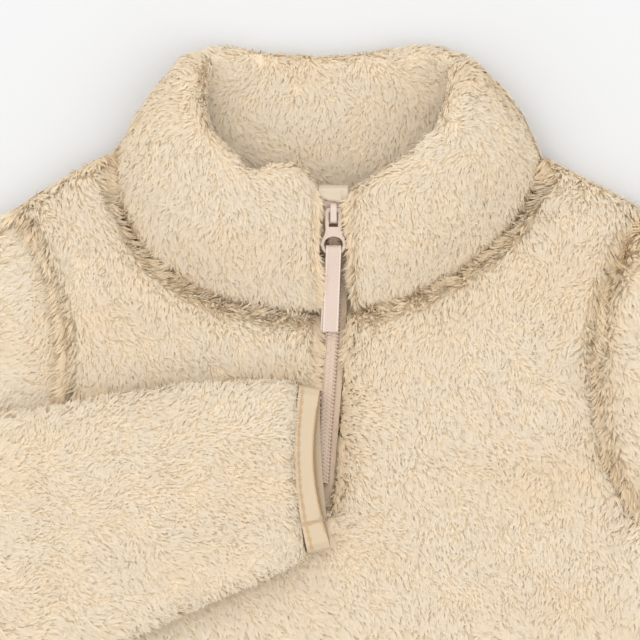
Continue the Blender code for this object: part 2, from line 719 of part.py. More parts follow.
def make_puller(metal):
    """A painted plate with a slot for the bridge and a ring for the tab."""
    edge = [
        # s and half width
        (-0.8, 2.2), (-0.3, 2.9), (1.0, 3.2), (5.0, 3.2), (8.0, 3.1), (9.6, 3.5), (11.0, 4.3),
        (12.4, 4.75), (13.9, 4.8), (15.3, 4.4), (16.5, 3.5), (17.3, 2.2), (17.6, 0.8),
    ]
    loop = np.array([(half, s) for s, half in edge] + [(-half, s) for s, half in edge[::-1]]) * MM
    slot = np.array([(-1.75, 0.9), (1.75, 0.9), (1.75, 6.6), (-1.75, 6.6)]) * MM
    angles = np.linspace(0, 2 * math.pi, 24, endpoint=False)
    hole = np.stack([3.6 * np.cos(angles), 13.3 + 3.0 * np.sin(angles)], 1) * MM
    return pierced_plate("zip_puller", puller_frame(), [loop, slot, hole], 1.2 * MM, metal)


def pierced_plate(name, frame, loops, thick, material):
    """A flat plate drawn in x and s, whose first loop is its outline and whose others are holes."""
    points, edges = [], []
    for loop in loops:
        first = len(points)
        edges += [(first + i, first + (i + 1) % len(loop)) for i in range(len(loop))]
        points += [Vector(p) for p in loop]
    _, _, flat, came_from, _, _ = delaunay_2d_cdt(points, edges, [], 1, 1e-7)
    kept = []
    for face in flat:
        face = tuple(came_from[i][0] for i in face)
        centre = sum((points[i] for i in face), Vector((0, 0))) / 3
        if not any(inside(hole, np.array([centre]))[0] for hole in loops[1:]):
            kept.append(face)
    count = len(points)
    verts = [frame.point(p.x, p.y, side * thick / 2) for side in (1, -1) for p in points]
    faces = kept + [tuple(count + i for i in face) for face in kept]
    faces += [(a, b, count + b, count + a) for a, b in edges]
    return new_piece(name, verts, faces, material)


def make_tab(ribbon):
    """A ribbon doubled through the ring: its front layer down, and its back layer a little to one side."""
    way = [
        # s, n and x of the ribbon's middle, from the front layer's foot round the ring's bar to the back's
        (47.3, 0.48, -1.2), (40.0, 0.48, -0.9), (30.0, 0.48, -0.5), (22.0, 0.52, -0.2), (19.2, 0.9, -0.1),
        (17.2, 1.25, 0.0), (15.6, 1.3, 0.0), (14.6, 1.15, 0.0), (14.1, 0.6, 0.0), (13.95, 0.0, 0.0),
        (14.1, -0.6, 0.0), (14.6, -1.15, 0.0), (15.6, -1.3, 0.0), (17.2, -1.25, -0.1), (19.2, -0.9, -0.3),
        (22.0, -0.52, -0.5), (30.0, -0.48, -1.0), (40.0, -0.48, -1.7), (47.3, -0.48, -2.0),
    ]
    way = np.array(way) * MM
    frame, half, thick = puller_frame(), 2.9 * MM, 0.6 * MM
    tangent = np.gradient(way[:, :2], axis=0)
    normal = np.stack([-tangent[:, 1], tangent[:, 0]], 1) / np.linalg.norm(tangent, axis=1)[:, None]
    rings = []
    for (s, n, x), (turn_s, turn_n) in zip(way, normal * thick / 2):
        corners = ((-half, 1), (half, 1), (half, -1), (-half, -1))
        rings.append([frame.point(x + off, s + turn_s * side, n + turn_n * side) for off, side in corners])
    return skinned("pull_tab", rings, ribbon)


def garage_height(x, y):
    """The cover lies over the zip's top end and turns down inside the neck."""
    return 25.0 * MM + 0.25 * (y + 18 * MM) - 3 * max(0.0, y + 12.9 * MM)


def make_garage(cloth):
    outline = [
        (-4.1, -11.6), (-4.3, -12.9), (-4.4, -14.6), (-3.4, -16.6), (-0.6, -17.6), (3.0, -18.0), (5.0, -18.6),
        (5.1, -21.6), (5.3, -24.6), (6.2, -24.2), (6.6, -20.0), (6.9, -15.5), (6.8, -12.9), (6.6, -11.6),
    ]
    return thin_sheet("zip_garage", np.array(outline) * MM, garage_height, 1.2 * MM, cloth)


def stand_on_origin():
    """Moves every piece so that the whole stands on z = 0 with its middle over the origin."""
    pieces = [piece for piece in bpy.data.objects if piece.type == "MESH"]
    corners = np.array([v.co for piece in pieces for v in piece.data.vertices])
    low, high = corners.min(0), corners.max(0)
    shift = Vector((-(low[0] + high[0]) / 2, -(low[1] + high[1]) / 2, -low[2]))
    for piece in pieces:
        for vertex in piece.data.vertices:
            vertex.co = vertex.co + shift
    return shift


def hang_on_hinge(hinge, names):
    """Gives the moving pieces a parent on their hinge's axis. Each has its own origin there too."""
    holder = bpy.data.objects.new("puller_hinge", None)
    holder.location = hinge
    bpy.context.scene.collection.objects.link(holder)
    for name in names:
        piece = bpy.data.objects[name]
        for vertex in piece.data.vertices:
            vertex.co = vertex.co - Vector(hinge)
        piece.parent = holder


def main():
    for old in list(bpy.data.objects):
        bpy.data.objects.remove(old)
    fleece = finish("fleece", (0.80, 0.71, 0.55), 0.95)
    elastic = finish("elastic", (0.80, 0.66, 0.44), 0.75)
    tape = finish("zip tape", (0.60, 0.45, 0.36), 0.8)
    nylon = finish("coil nylon", (0.56, 0.41, 0.33), 0.5)
    paint = finish("painted metal", (0.86, 0.70, 0.60), 0.4)
    ribbon = finish("ribbon", (0.87, 0.69, 0.60), 0.7)
    lining = finish("smooth cloth", (0.86, 0.74, 0.58), 0.8)
    make_body(fleece)
    make_collar(fleece)
    make_sleeve_left(fleece)
    make_sleeve_right(fleece)
    make_binding("cuff_binding_left", BINDING_LEFT_WAY, 0, 0, elastic)
    make_binding("cuff_binding_right", BINDING_RIGHT_WAY, ON_TOP, CUFF_CUT_BACK, elastic)
    make_tapes(tape)
    make_coil(nylon)
    make_slider(paint)
    make_puller(paint)
    make_tab(ribbon)
    make_garage(lining)
    shift = stand_on_origin()
    hinge = puller_frame().origin + np.array(shift)
    hang_on_hinge(hinge, ("zip_puller", "pull_tab"))
    print("moved by", [round(v * 1000, 3) for v in shift], "mm")
    print("puller's hinge at", [round(v * 1000, 3) for v in hinge], "mm")
    return shift


SHIFT = main()
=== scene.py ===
# %% [markdown]
# # A child's half-zip pullover in deep-pile fleece
# The pullover lies flat and is seen from straight above. Its right sleeve is folded over the front.
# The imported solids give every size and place, and this script dresses them: a thin knitted backing, the pile
# that stands on it, and the zip's small parts.

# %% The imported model
import json
import math

import bmesh
import bpy
import numpy as np
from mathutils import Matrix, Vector
from mathutils.bvhtree import BVHTree
from mathutils.kdtree import KDTree

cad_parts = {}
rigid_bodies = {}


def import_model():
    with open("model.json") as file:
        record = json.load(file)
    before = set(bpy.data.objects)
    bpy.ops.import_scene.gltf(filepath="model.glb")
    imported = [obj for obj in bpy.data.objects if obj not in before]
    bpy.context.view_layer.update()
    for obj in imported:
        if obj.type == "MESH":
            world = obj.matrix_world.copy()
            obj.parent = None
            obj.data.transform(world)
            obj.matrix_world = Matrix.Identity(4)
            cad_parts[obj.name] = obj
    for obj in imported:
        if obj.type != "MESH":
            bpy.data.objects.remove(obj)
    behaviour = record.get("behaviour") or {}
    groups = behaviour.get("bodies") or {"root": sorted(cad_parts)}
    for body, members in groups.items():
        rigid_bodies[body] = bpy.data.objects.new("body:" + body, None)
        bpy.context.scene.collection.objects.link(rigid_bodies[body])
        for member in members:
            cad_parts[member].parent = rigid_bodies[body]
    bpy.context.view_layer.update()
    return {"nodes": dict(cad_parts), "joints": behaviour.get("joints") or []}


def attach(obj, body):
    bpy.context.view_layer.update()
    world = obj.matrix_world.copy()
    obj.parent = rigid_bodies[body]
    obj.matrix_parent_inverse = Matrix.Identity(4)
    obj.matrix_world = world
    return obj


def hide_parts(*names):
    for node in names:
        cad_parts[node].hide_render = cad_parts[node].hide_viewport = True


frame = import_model()
MM = 0.001

# %% [markdown]
# The pattern of the pullover is drawn in millimetres round one point of the chest: x to the wearer's left, y
# towards the collar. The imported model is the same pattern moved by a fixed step, so the tables below can stay
# in the pattern's own numbers.

# %% Pattern and model
PATTERN_AT = np.array([-65.981, 161.436, 0.0]) * MM


def laid(x, y, z=0.0):
    """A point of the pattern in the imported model."""
    return PATTERN_AT + np.array([x, y, z]) * MM


def on_pattern(points):
    """Model points as pattern millimetres."""
    return (np.asarray(points) - PATTERN_AT) / MM


print("middle of the chest at", laid(0, 0))

# %% [markdown]
# The camera hangs above the table and looks straight down. A very long lens keeps the thick collar from
# looking larger than the chest, as in a catalogue picture.

# %% The camera
VIEW_WIDE = 243.2 * MM
VIEW_MIDDLE = laid(-3.8, -62.7, 14.0)
LENS, SENSOR = 300.0, 36.0

camera_data = bpy.data.cameras.new("above")
camera_data.lens = LENS
camera_data.sensor_width = SENSOR
camera_data.clip_end = 50
camera = bpy.data.objects.new("above", camera_data)
camera.location = Vector(VIEW_MIDDLE) + Vector((0, 0, VIEW_WIDE * LENS / SENSOR))
bpy.context.scene.collection.objects.link(camera)
bpy.context.scene.camera = camera
print("camera at", tuple(round(v, 3) for v in camera.location))

# %% [markdown]
# A pale paper floor, an even pale sky, and two large soft lamps. The lamp on the upper left is a little
# stronger, so that the collar's rolls and the folded sleeve throw a faint shade to the lower right.

# %% Floor and light
PAPER = (0.7, 0.7, 0.7)
SKY_STRENGTH = 1.1


def blank_finish(name):
    """A new material, its node tree and its shader."""
    material = bpy.data.materials.new(name)
    material.use_nodes = True
    return material, material.node_tree, material.node_tree.nodes["Principled BSDF"]


def soft_lamp(name, place, size, power):
    data = bpy.data.lights.new(name, "AREA")
    data.size = size
    data.energy = power
    lamp = bpy.data.objects.new(name, data)
    lamp.location = place
    lamp.rotation_euler = (Vector(VIEW_MIDDLE) - Vector(place)).to_track_quat("-Z", "Y").to_euler()
    bpy.context.scene.collection.objects.link(lamp)


bpy.ops.mesh.primitive_plane_add(size=16, location=(0, 0, -0.0002))
floor = bpy.context.object
floor.name = "floor"
paper, _, paper_shader = blank_finish("paper")
paper_shader.inputs["Base Color"].default_value = (*PAPER, 1)
paper_shader.inputs["Roughness"].default_value = 0.9
floor.data.materials.append(paper)

world = bpy.data.worlds.new("room")
bpy.context.scene.world = world
world.use_nodes = True
world.node_tree.nodes["Background"].inputs["Color"].default_value = (1, 1, 1, 1)
world.node_tree.nodes["Background"].inputs["Strength"].default_value = SKY_STRENGTH

soft_lamp("window", (-1.1, 1.2, 2.4), 2.2, 19)
soft_lamp("fill", (1.4, -0.8, 2.6), 2.4, 8)
bpy.context.scene.view_settings.view_transform = "Standard"
print("floor, sky and lamps are set")

# %% [markdown]
# Some effects come back in more than one material: woven threads, and a faint unevenness of dye. The pile's
# colour from root to tip is a third. Each is a node group with named inputs, built once. A group puts out only
# colours or heights that change over the surface, and the shader itself stays in each material.

# %% Node groups
def new_group(name, inputs, outputs):
    """A shader node group with its input and output nodes. Sockets are (name, kind, default)."""
    group = bpy.data.node_groups.new(name, "ShaderNodeTree")
    for socket, kind, default in inputs:
        made = group.interface.new_socket(name=socket, in_out="INPUT", socket_type=kind)
        made.default_value = default
    for socket, kind in outputs:
        group.interface.new_socket(name=socket, in_out="OUTPUT", socket_type=kind)
    return group, group.nodes.new("NodeGroupInput"), group.nodes.new("NodeGroupOutput")


def math_node(tree, operation, a, b=None):
    node = tree.nodes.new("ShaderNodeMath")
    node.operation = operation
    for socket, value in zip(node.inputs, (a, b)):
        if value is None:
            continue
        if isinstance(value, (int, float)):
            socket.default_value = value
        else:
            tree.links.new(value, socket)
    return node.outputs[0]


def colour_mix(tree, share, first, second, blend="MIX"):
    node = tree.nodes.new("ShaderNodeMix")
    node.data_type = "RGBA"
    node.blend_type = blend
    for socket, value in ((node.inputs[0], share), (node.inputs[6], first), (node.inputs[7], second)):
        if isinstance(value, (int, float, tuple)):
            socket.default_value = value
        else:
            tree.links.new(value, socket)
    return node.outputs[2]


COLOUR, NUMBER = "NodeSocketColor", "NodeSocketFloat"


def pile_colour_group():
    """Painted shade at the root, through the pile's own colour, to a pale tip. Tone moves one lock towards the warm
    colour, and in a seam it paints the seam's shade.
    """
    group, given, out = new_group(
        "pile colour",
        [
            ("Along", NUMBER, 0.5), ("Tone and seam shade", NUMBER, 0.5),
            ("Root shade", COLOUR, (0.4, 0.25, 0.1, 1)), ("Middle", COLOUR, (0.8, 0.66, 0.42, 1)),
            ("Tip", COLOUR, (0.9, 0.8, 0.6, 1)), ("Warm and seam shade", COLOUR, (0.8, 0.6, 0.35, 1)),
        ],
        [("Color", COLOUR)],
    )
    low = math_node(group, "MULTIPLY", given.outputs["Along"], 2.2)
    high = math_node(group, "SUBTRACT", given.outputs["Along"], 0.45)
    high = math_node(group, "MULTIPLY", high, 1.8)
    for value in (low, high):
        value.node.use_clamp = True
    base = colour_mix(group, low, given.outputs["Root shade"], given.outputs["Middle"])
    base = colour_mix(group, high, base, given.outputs["Tip"])
    warm_and_seam_shade_share = math_node(group, "MULTIPLY", given.outputs["Tone and seam shade"], 0.5)
    group.links.new(colour_mix(group, warm_and_seam_shade_share, base, given.outputs["Warm and seam shade"]), out.inputs["Color"])
    return group


def object_place(tree):
    return tree.nodes.new("ShaderNodeTexCoord").outputs["Object"]


def noise(tree, place, scale, detail=2.0):
    node = tree.nodes.new("ShaderNodeTexNoise")
    node.inputs["Detail"].default_value = detail
    tree.links.new(place, node.inputs["Vector"])
    if isinstance(scale, (int, float)):
        node.inputs["Scale"].default_value = scale
    else:
        tree.links.new(scale, node.inputs["Scale"])
    return node.outputs["Fac"]


def dye_group():
    """Colour that wanders between two tones, in soft patches and in fine specks. Speck is the fine part."""
    group, given, out = new_group(
        "dye",
        [("Size", NUMBER, 60.0), ("Light", COLOUR, (0.7, 0.6, 0.5, 1)), ("Dark", COLOUR, (0.5, 0.4, 0.3, 1))],
        [("Color", COLOUR), ("Speck", NUMBER)],
    )
    place = object_place(group)
    soft = noise(group, place, given.outputs["Size"])
    fine = noise(group, place, math_node(group, "MULTIPLY", given.outputs["Size"], 17.0), 4.0)
    soft, fine_part = math_node(group, "MULTIPLY", soft, 0.65), math_node(group, "MULTIPLY", fine, 0.35)
    share = math_node(group, "ADD", soft, fine_part)
    group.links.new(colour_mix(group, share, given.outputs["Dark"], given.outputs["Light"]), out.inputs["Color"])
    group.links.new(fine, out.inputs["Speck"])
    return group


def weave_group():
    """Threads that cross, as a height from 0 to 1. Across and Down are threads per metre, Skew slants them."""
    group, given, out = new_group(
        "weave", [("Across", NUMBER, 2000.0), ("Down", NUMBER, 2000.0), ("Skew", NUMBER, 0.0)], [("Height", NUMBER)]
    )
    parts = group.nodes.new("ShaderNodeSeparateXYZ")
    group.links.new(object_place(group), parts.inputs[0])
    slanted = math_node(group, "MULTIPLY", parts.outputs["Y"], given.outputs["Skew"])
    across = math_node(group, "ADD", parts.outputs["X"], slanted)
    across = math_node(group, "MULTIPLY", across, math_node(group, "MULTIPLY", given.outputs["Across"], math.pi))
    down_turns = math_node(group, "MULTIPLY", given.outputs["Down"], math.pi)
    down = math_node(group, "MULTIPLY", parts.outputs["Y"], down_turns)
    product = math_node(group, "MULTIPLY", math_node(group, "SINE", across), math_node(group, "SINE", down))
    half = math_node(group, "MULTIPLY", product, 0.5)
    group.links.new(math_node(group, "ADD", half, 0.5), out.inputs["Height"])
    return group


PILE_COLOUR = pile_colour_group()
DYE = dye_group()
WEAVE = weave_group()
print("node groups:", [group.name for group in bpy.data.node_groups])

# %% [markdown]
# The pile is polyester, soft and a little silky. The colour runs along each lock, from painted shade at the root to a
# pale tip,
# set by two numbers that the mesh carries: how far along the lock a point is, and the lock's tone, which in a seam is
# also painted shade.
# Fine fibres also let light through, so a part of the shader is translucent, which warms and fills the small gaps
# between the locks.
#
# The backing shows only in those gaps, and its colour is painted shade, darker than the pile. Where the pile is open
# it also lies in more light, so the painted shade is deeper there. The mesh says where by a third number, how closely
# a point is seen.

# %% Pile and backing finishes
# The root's deeper, warmer colour is painted shade deep in the pile.
PILE_ROOT_SHADE = (0.955, 0.825, 0.60, 1)
PILE_MIDDLE = (0.955, 0.865, 0.71, 1)
PILE_TIP = (0.96, 0.895, 0.785, 1)
# The warm colour is a lock's own tone, and in a seam it is painted shade.
PILE_WARM_AND_SEAM_SHADE = (0.955, 0.82, 0.61, 1)
PILE_LETS_THROUGH = 0.46


def attribute(tree, name):
    node = tree.nodes.new("ShaderNodeAttribute")
    node.attribute_name = name
    return node.outputs["Fac"]


def bumped(tree, shader, height, distance, strength=1.0):
    """A bump from this height, with its distance in millimetres."""
    bump = tree.nodes.new("ShaderNodeBump")
    bump.inputs["Strength"].default_value = strength
    bump.inputs["Distance"].default_value = distance * MM
    tree.links.new(height, bump.inputs["Height"])
    tree.links.new(bump.outputs["Normal"], shader.inputs["Normal"])


def pile_finish():
    material, tree, shader = blank_finish("deep pile")
    colour = tree.nodes.new("ShaderNodeGroup")
    colour.node_tree = PILE_COLOUR
    tree.links.new(attribute(tree, "along"), colour.inputs["Along"])
    tree.links.new(attribute(tree, "tone_and_shade"), colour.inputs["Tone and seam shade"])
    for name, value in (("Root shade", PILE_ROOT_SHADE), ("Middle", PILE_MIDDLE), ("Tip", PILE_TIP), ("Warm and seam shade", PILE_WARM_AND_SEAM_SHADE)):
        colour.inputs[name].default_value = value
    tree.links.new(colour.outputs["Color"], shader.inputs["Base Color"])
    shader.inputs["Roughness"].default_value = 0.85
    shader.inputs["Specular IOR Level"].default_value = 0.12
    through = tree.nodes.new("ShaderNodeBsdfTranslucent")
    tree.links.new(colour.outputs["Color"], through.inputs["Color"])
    both = tree.nodes.new("ShaderNodeMixShader")
    both.inputs["Fac"].default_value = PILE_LETS_THROUGH
    tree.links.new(shader.outputs[0], both.inputs[1])
    tree.links.new(through.outputs[0], both.inputs[2])
    tree.links.new(both.outputs[0], tree.nodes["Material Output"].inputs["Surface"])
    return material


def backing_finish():
    material, tree, shader = blank_finish("knitted backing with painted shade")
    fine = noise(tree, object_place(tree), 900, 4)
    # Both tones are painted shade, darker than the pile; where the pile is open they are darker still.
    tone_and_shade = colour_mix(tree, fine, (0.75, 0.615, 0.44, 1), (0.81, 0.69, 0.525, 1))
    open_painted_shade = colour_mix(tree, fine, (0.60, 0.49, 0.35, 1), (0.66, 0.55, 0.42, 1))
    tree.links.new(colour_mix(tree, attribute(tree, "close"), open_painted_shade, tone_and_shade), shader.inputs["Base Color"])
    bumped(tree, shader, fine, 0.6, 0.6)
    shader.inputs["Roughness"].default_value = 0.9
    return material


PILE = pile_finish()
BACKING = backing_finish()
print("finishes:", PILE.name, BACKING.name)

# %% [markdown]
# Each piece of fleece starts from its solid. The solid's mesh is cut finer, the cloth's creases are pressed
# into its upper side, and what results is the level that the pile's tips reach. The knitted backing lies
# below it by the height of the pile.

# %% Fine surfaces
def finer(node, longest):
    """A node's mesh as points and triangles, with no edge longer than this."""
    work = bmesh.new()
    work.from_mesh(bpy.data.objects[node].data)
    bmesh.ops.remove_doubles(work, verts=work.verts, dist=1e-6)
    for _ in range(8):
        long_edges = [edge for edge in work.edges if edge.calc_length() > longest]
        if not long_edges:
            break
        bmesh.ops.subdivide_edges(work, edges=long_edges, cuts=1)
        bmesh.ops.triangulate(work, faces=[face for face in work.faces if len(face.verts) > 3])
    points = np.array([vert.co for vert in work.verts])
    work.verts.index_update()
    triangles = np.array([[vert.index for vert in face.verts] for face in work.faces])
    work.free()
    return points, triangles


def face_normals(points, triangles):
    a, b, c = (points[triangles[:, k]] for k in range(3))
    return np.cross(b - a, c - a)


def vertex_normals(points, triangles, rounds=2):
    """Unit normals at the points, averaged over neighbours a few times so that edges turn softly."""
    normals = np.zeros_like(points)
    across = face_normals(points, triangles)
    for k in range(3):
        np.add.at(normals, triangles[:, k], across)
    normals /= np.linalg.norm(normals, axis=1)[:, None] + 1e-12
    for _ in range(rounds):
        total = normals.copy()
        for k in range(3):
            np.add.at(total, triangles[:, k], normals[triangles[:, (k + 1) % 3]])
            np.add.at(total, triangles[:, (k + 1) % 3], normals[triangles[:, k]])
        normals = total / (np.linalg.norm(total, axis=1)[:, None] + 1e-12)
    return normals


def waves(points, size, seed, count=14):
    """Smooth unevenness over space, about -1 to 1: a sum of waves about this long in metres."""
    rng = np.random.default_rng(seed)
    turns = rng.normal(size=(count, 3))
    turns /= np.linalg.norm(turns, axis=1)[:, None]
    lengths = size * rng.uniform(0.7, 1.6, count)
    phases = rng.uniform(0, 2 * math.pi, count)
    total = np.zeros(len(points))
    for turn, length, phase in zip(turns, lengths, phases):
        total += np.sin(points @ turn * (2 * math.pi / length) + phase)
    return total / math.sqrt(count)


print("helpers for fine surfaces are ready")

# %% [markdown]
# Creases are placed one by one. Each row is a soft trough, or with a minus a ridge, from one point of the pattern
# to another. They are long and short, deep and shallow, because evenly repeated creases look machine made.

# %% Creases
# start x, start y, end x, end y, half width, depth
CREASES = {
    "front_panel": [
        (-74, -46, -58, -78, 7, 0.8), (-30, -66, -52, -80, 6, 0.6), (40, -64, 58, -88, 7, 0.7),
        (64, -60, 96, -76, 8, 0.8), (24, -96, 70, -92, 8, 0.7), (30, -128, 92, -118, 9, 0.9),
        (56, -140, 30, -168, 8, 0.6), (96, -150, 84, -190, 9, -0.5), (-126, -250, -70, -228, 10, 1.0),
        (-20, -230, 60, -212, 11, 0.9), (70, -240, 130, -226, 10, 0.9), (-100, -310, 10, -322, 12, 0.9),
        (40, -320, 120, -306, 11, 1.0), (-60, -268, -20, -290, 9, -0.5),
    ],
    "collar": [],
    "sleeve_right": [
        (-20, -118, -60, -124, 8, 0.6), (-70, -100, -112, -112, 9, 0.7), (-60, -134, -96, -140, 8, 0.6),
        (-120, -140, -160, -150, 9, 0.9), (-30, -100, -52, -108, 6, -0.4),
    ],
    "sleeve_left": [
        (170, -90, 200, -124, 9, 0.9), (190, -150, 170, -190, 8, 0.8), (210, -140, 248, -160, 9, 0.8),
        (240, -200, 276, -196, 8, 0.7), (280, -230, 300, -268, 7, 0.7), (160, -60, 140, -100, 8, -0.5),
    ],
    "back_panel": [],
}


def crease_depth(node, points):
    """How deep the creases press each point, in metres."""
    flat = on_pattern(points)[:, :2]
    total = np.zeros(len(points))
    for x0, y0, x1, y1, half, depth in CREASES[node]:
        start, run = np.array([x0, y0]), np.array([x1 - x0, y1 - y0])
        along = np.clip((flat - start) @ run / (run @ run), 0, 1)
        bend = 2.0 * np.sin(along * 5 + x0)
        off = np.linalg.norm(flat - start - along[:, None] * run, axis=1) + bend * along * (1 - along)
        total += depth * MM * np.exp(-((off / half) ** 2)) * (0.7 + 0.3 * np.sin(along * 7 + y0))
    return total


print(sum(len(rows) for rows in CREASES.values()), "creases")

# %% [markdown]
# A lock of pile is a narrow strip of three triangles, bent over and pointed at its tip. Hundreds of thousands
# of particle hairs would show more, but a mesh of locks exports as it is and keeps the same look everywhere.
# Locks lean along the nap. Near a clump's middle they draw together, which opens the small dark gaps that
# fleece has between its clumps.

# %% The nap's directions
# x, y, heading in degrees: 0 points to the wearer's left, -90 to the hem
NAP = {
    "front_panel": [
        (-100, -20, -75), (-100, -60, -80), (-70, -60, -60), (-40, -75, -70), (-20, -80, -80), (6, -60, -70),
        (8, -90, -35), (10, -115, -25), (8, -140, -40), (25, -66, -120), (50, -60, -105), (75, -50, -100),
        (90, -70, -110), (30, -90, -75), (50, -100, -70), (65, -85, -50), (80, -110, -60), (60, -118, -45),
        (30, -115, -60), (40, -150, -80), (70, -150, -75), (98, -130, -95), (10, -165, -45), (0, -250, -90),
        (-90, -250, -95), (90, -250, -85), (0, -340, -90), (-120, -120, -90), (130, -150, -90),
    ],
    "sleeve_right": [
        (-110, -98, 40), (-80, -93, 50), (-50, -90, 45), (-20, -90, 35), (-100, -120, 5), (-60, -120, -5),
        (-30, -115, -20), (-20, -135, -30), (-10, -150, -45), (-40, -160, -55), (-70, -165, -30),
        (-110, -160, -15), (-160, -140, 5), (-190, -150, 0), (-130, -190, -25),
    ],
    "sleeve_left": [(140, -60, -55), (200, -120, -50), (260, -200, -45), (320, -270, -45), (180, -180, -40)],
    "back_panel": [(0, 0, -90), (0, -300, -90)],
    "collar": [
        (-80, -20, -115), (-60, 20, -130), (-45, 36, 170), (-50, -40, -95), (-20, -50, -80), (8, -50, -60),
        (25, -46, -95), (60, -30, -80), (80, -10, -65), (60, 25, -50), (40, 36, 10), (0, 30, -80),
        (-25, 15, -60), (25, 15, -110), (0, 0, -90), (-30, -5, -45), (35, -2, -130),
    ],
}


def nap(node, points):
    """Unit headings over the pattern, from the nearest rows of the table and two sizes of unevenness."""
    flat = on_pattern(points)[:, :2]
    rows = np.array(NAP[node], float)
    reach = ((flat[:, None, :] - rows[None, :, :2]) ** 2).sum(2) + 60
    weight = reach**-1.5
    angles = np.radians(rows[:, 2])
    heading = np.arctan2((weight * np.sin(angles)).sum(1), (weight * np.cos(angles)).sum(1))
    heading += 0.42 * waves(points, 26 * MM, 5) + 0.30 * waves(points, 9 * MM, 6)
    return np.stack([np.cos(heading), np.sin(heading), np.zeros(len(heading))], 1)


print(sum(len(rows) for rows in NAP.values()), "headings of the nap")

# %% [markdown]
# Pile grows only where nothing lies on the cloth. A short ray from each root asks all the solids at once
# whether anything is in the way, such as the folded sleeve above the chest.

# %% What covers what
FLEECE = ["front_panel", "back_panel", "collar", "sleeve_left", "sleeve_right"]


def ray_tree(nodes):
    verts, faces = [], []
    for node in nodes:
        mesh = bpy.data.objects[node].data
        mesh.calc_loop_triangles()
        start = len(verts)
        verts += [vert.co.copy() for vert in mesh.vertices]
        faces += [tuple(start + i for i in triangle.vertices) for triangle in mesh.loop_triangles]
    return BVHTree.FromPolygons(verts, faces, all_triangles=True)


SOLIDS = ray_tree(frame["nodes"])
OWN = {node: ray_tree([node]) for node in FLEECE}
NEEDED_BY_SEAM = 0.55 * MM


def free_way(tree, points, directions, longest):
    """How far a ray runs from each point before it meets something, up to this length."""
    ways = np.full(len(points), longest)
    for i, (point, direction) in enumerate(zip(points, directions)):
        hit = tree.ray_cast(Vector(point + direction * 0.12 * MM), Vector(direction), longest)
        if hit[0] is not None:
            ways[i] = hit[3]
    return ways


def uncovered(points, normals, reach, seam=None):
    """Which points have free space over them. Near a seam the pile leans up and out of it, and the ray does too."""
    lift = np.where(normals[:, 2] > -0.35, 0.9, 0.0)
    if seam is not None:
        lift = lift * (1 + 5 * seam)
    directions = normals + np.stack([np.zeros(len(lift))] * 2 + [lift], 1)
    directions /= np.linalg.norm(directions, axis=1)[:, None]
    needed = reach if seam is None else NEEDED_BY_SEAM
    return free_way(SOLIDS, points, directions, reach) >= needed


print("solids for the rays:", len(frame["nodes"]))

# %% [markdown]
# Two pieces of fleece that are sewn together meet in a seam. The pile has to know how near it is and which way
# it lies. Where pieces only lie on each other, as under the folded sleeve, there is no seam.

# %% Seams
BESIDE = {node: ray_tree([other for other in FLEECE if other != node]) for node in FLEECE}
SEAM_OVERLAP = 9.0 * MM


def beyond_seams(node, points):
    """Where pieces touch without a seam: under the folded sleeve, and beside the body below the armpit."""
    x, y = on_pattern(points).T[:2]
    under_fold = (x > -120) & (y < np.where(x < -85, -94, -82)) & (node in ("front_panel", "sleeve_right"))
    return under_fold | (x > 105) & (y < -165)


def seam_share(node, points, normals, widest):
    """1 in the seam with another piece of fleece, falling to 0 at this distance. Also the pile's way over it."""
    share, way = np.zeros(len(points)), np.zeros((len(points), 3))
    laid_over = beyond_seams(node, points)
    for i in np.flatnonzero((normals[:, 2] > -0.5) & ~laid_over):
        found = BESIDE[node].find_nearest(Vector(points[i]), SEAM_OVERLAP)
        if found[0] is not None:
            to_seam = np.array(found[0] - Vector(points[i])) / max(found[3], 1e-5)
            share[i] = max(1 - found[3] / widest, 0) * min(max(1.2 + 1.6 * to_seam[2], 0), 1)
            way[i] = to_seam * min(1.7 * (1 - found[3] / SEAM_OVERLAP), 1)
    return share, way * (1, 1, 0)


print("the pile leans over a seam from", SEAM_OVERLAP / MM, "mm away")

# %% [markdown]
# The camera sees the chest and the collar closely, so their locks are small and many. The rest of the garment
# is covered with fewer and broader locks, which look the same from further away. Beside a seam the pile stands
# fuller and leans over it from both sides, as real pile does, so that a seam is only a soft valley.

# %% The pile's measures
PILE_HEIGHT = 1.65 * MM
LOCK_REACH = 4.0 * MM
LOCK_WIDTH = 1.02 * MM
PULL_LIMIT = 2.4 * MM
# The least height of a root's way and of a lock's corner above the floor
WAY_FLOOR, CORNER_FLOOR = 0.25 * MM, 0.12 * MM
# The rise of the pile that stands in a seam. Then in millimetres for each piece: more height at its edges, the
# way over a seam, and the lift beside a seam
SEAM_FULLER = 2.6 * MM
EDGE_FULLER = {"front_panel": 2.4, "back_panel": 0.5, "collar": 0.0, "sleeve_left": 1.6, "sleeve_right": 1.2}
ACROSS_SEAM = {"front_panel": 4.4, "back_panel": 2.0, "collar": 2.4, "sleeve_left": 3.4, "sleeve_right": 3.4}
SEAM_LIFT = {"front_panel": 1.6, "back_panel": 0.5, "collar": 0.0, "sleeve_left": 1.2, "sleeve_right": 1.2}
# How many locks grow on a square millimetre
CLOSE_PER_MM2 = {"front_panel": 1.7, "back_panel": 2.0, "collar": 1.8, "sleeve_left": 2.0, "sleeve_right": 1.65}
FAR_PER_MM2 = 0.4
# Where along a lock its three points are, and its width at the first two. The third is the tip
TIMES = np.array([0.0, 0.48, 1.0])
WIDTHS = np.array([0.9, 1.0])
print("the pile is", PILE_HEIGHT / MM, "mm high over its backing")

# %% [markdown]
# The zip's slit is an opening in the collar and in the front. The pile beside it leans in over the tapes, most
# of all below the puller, where the photograph shows the least of them.

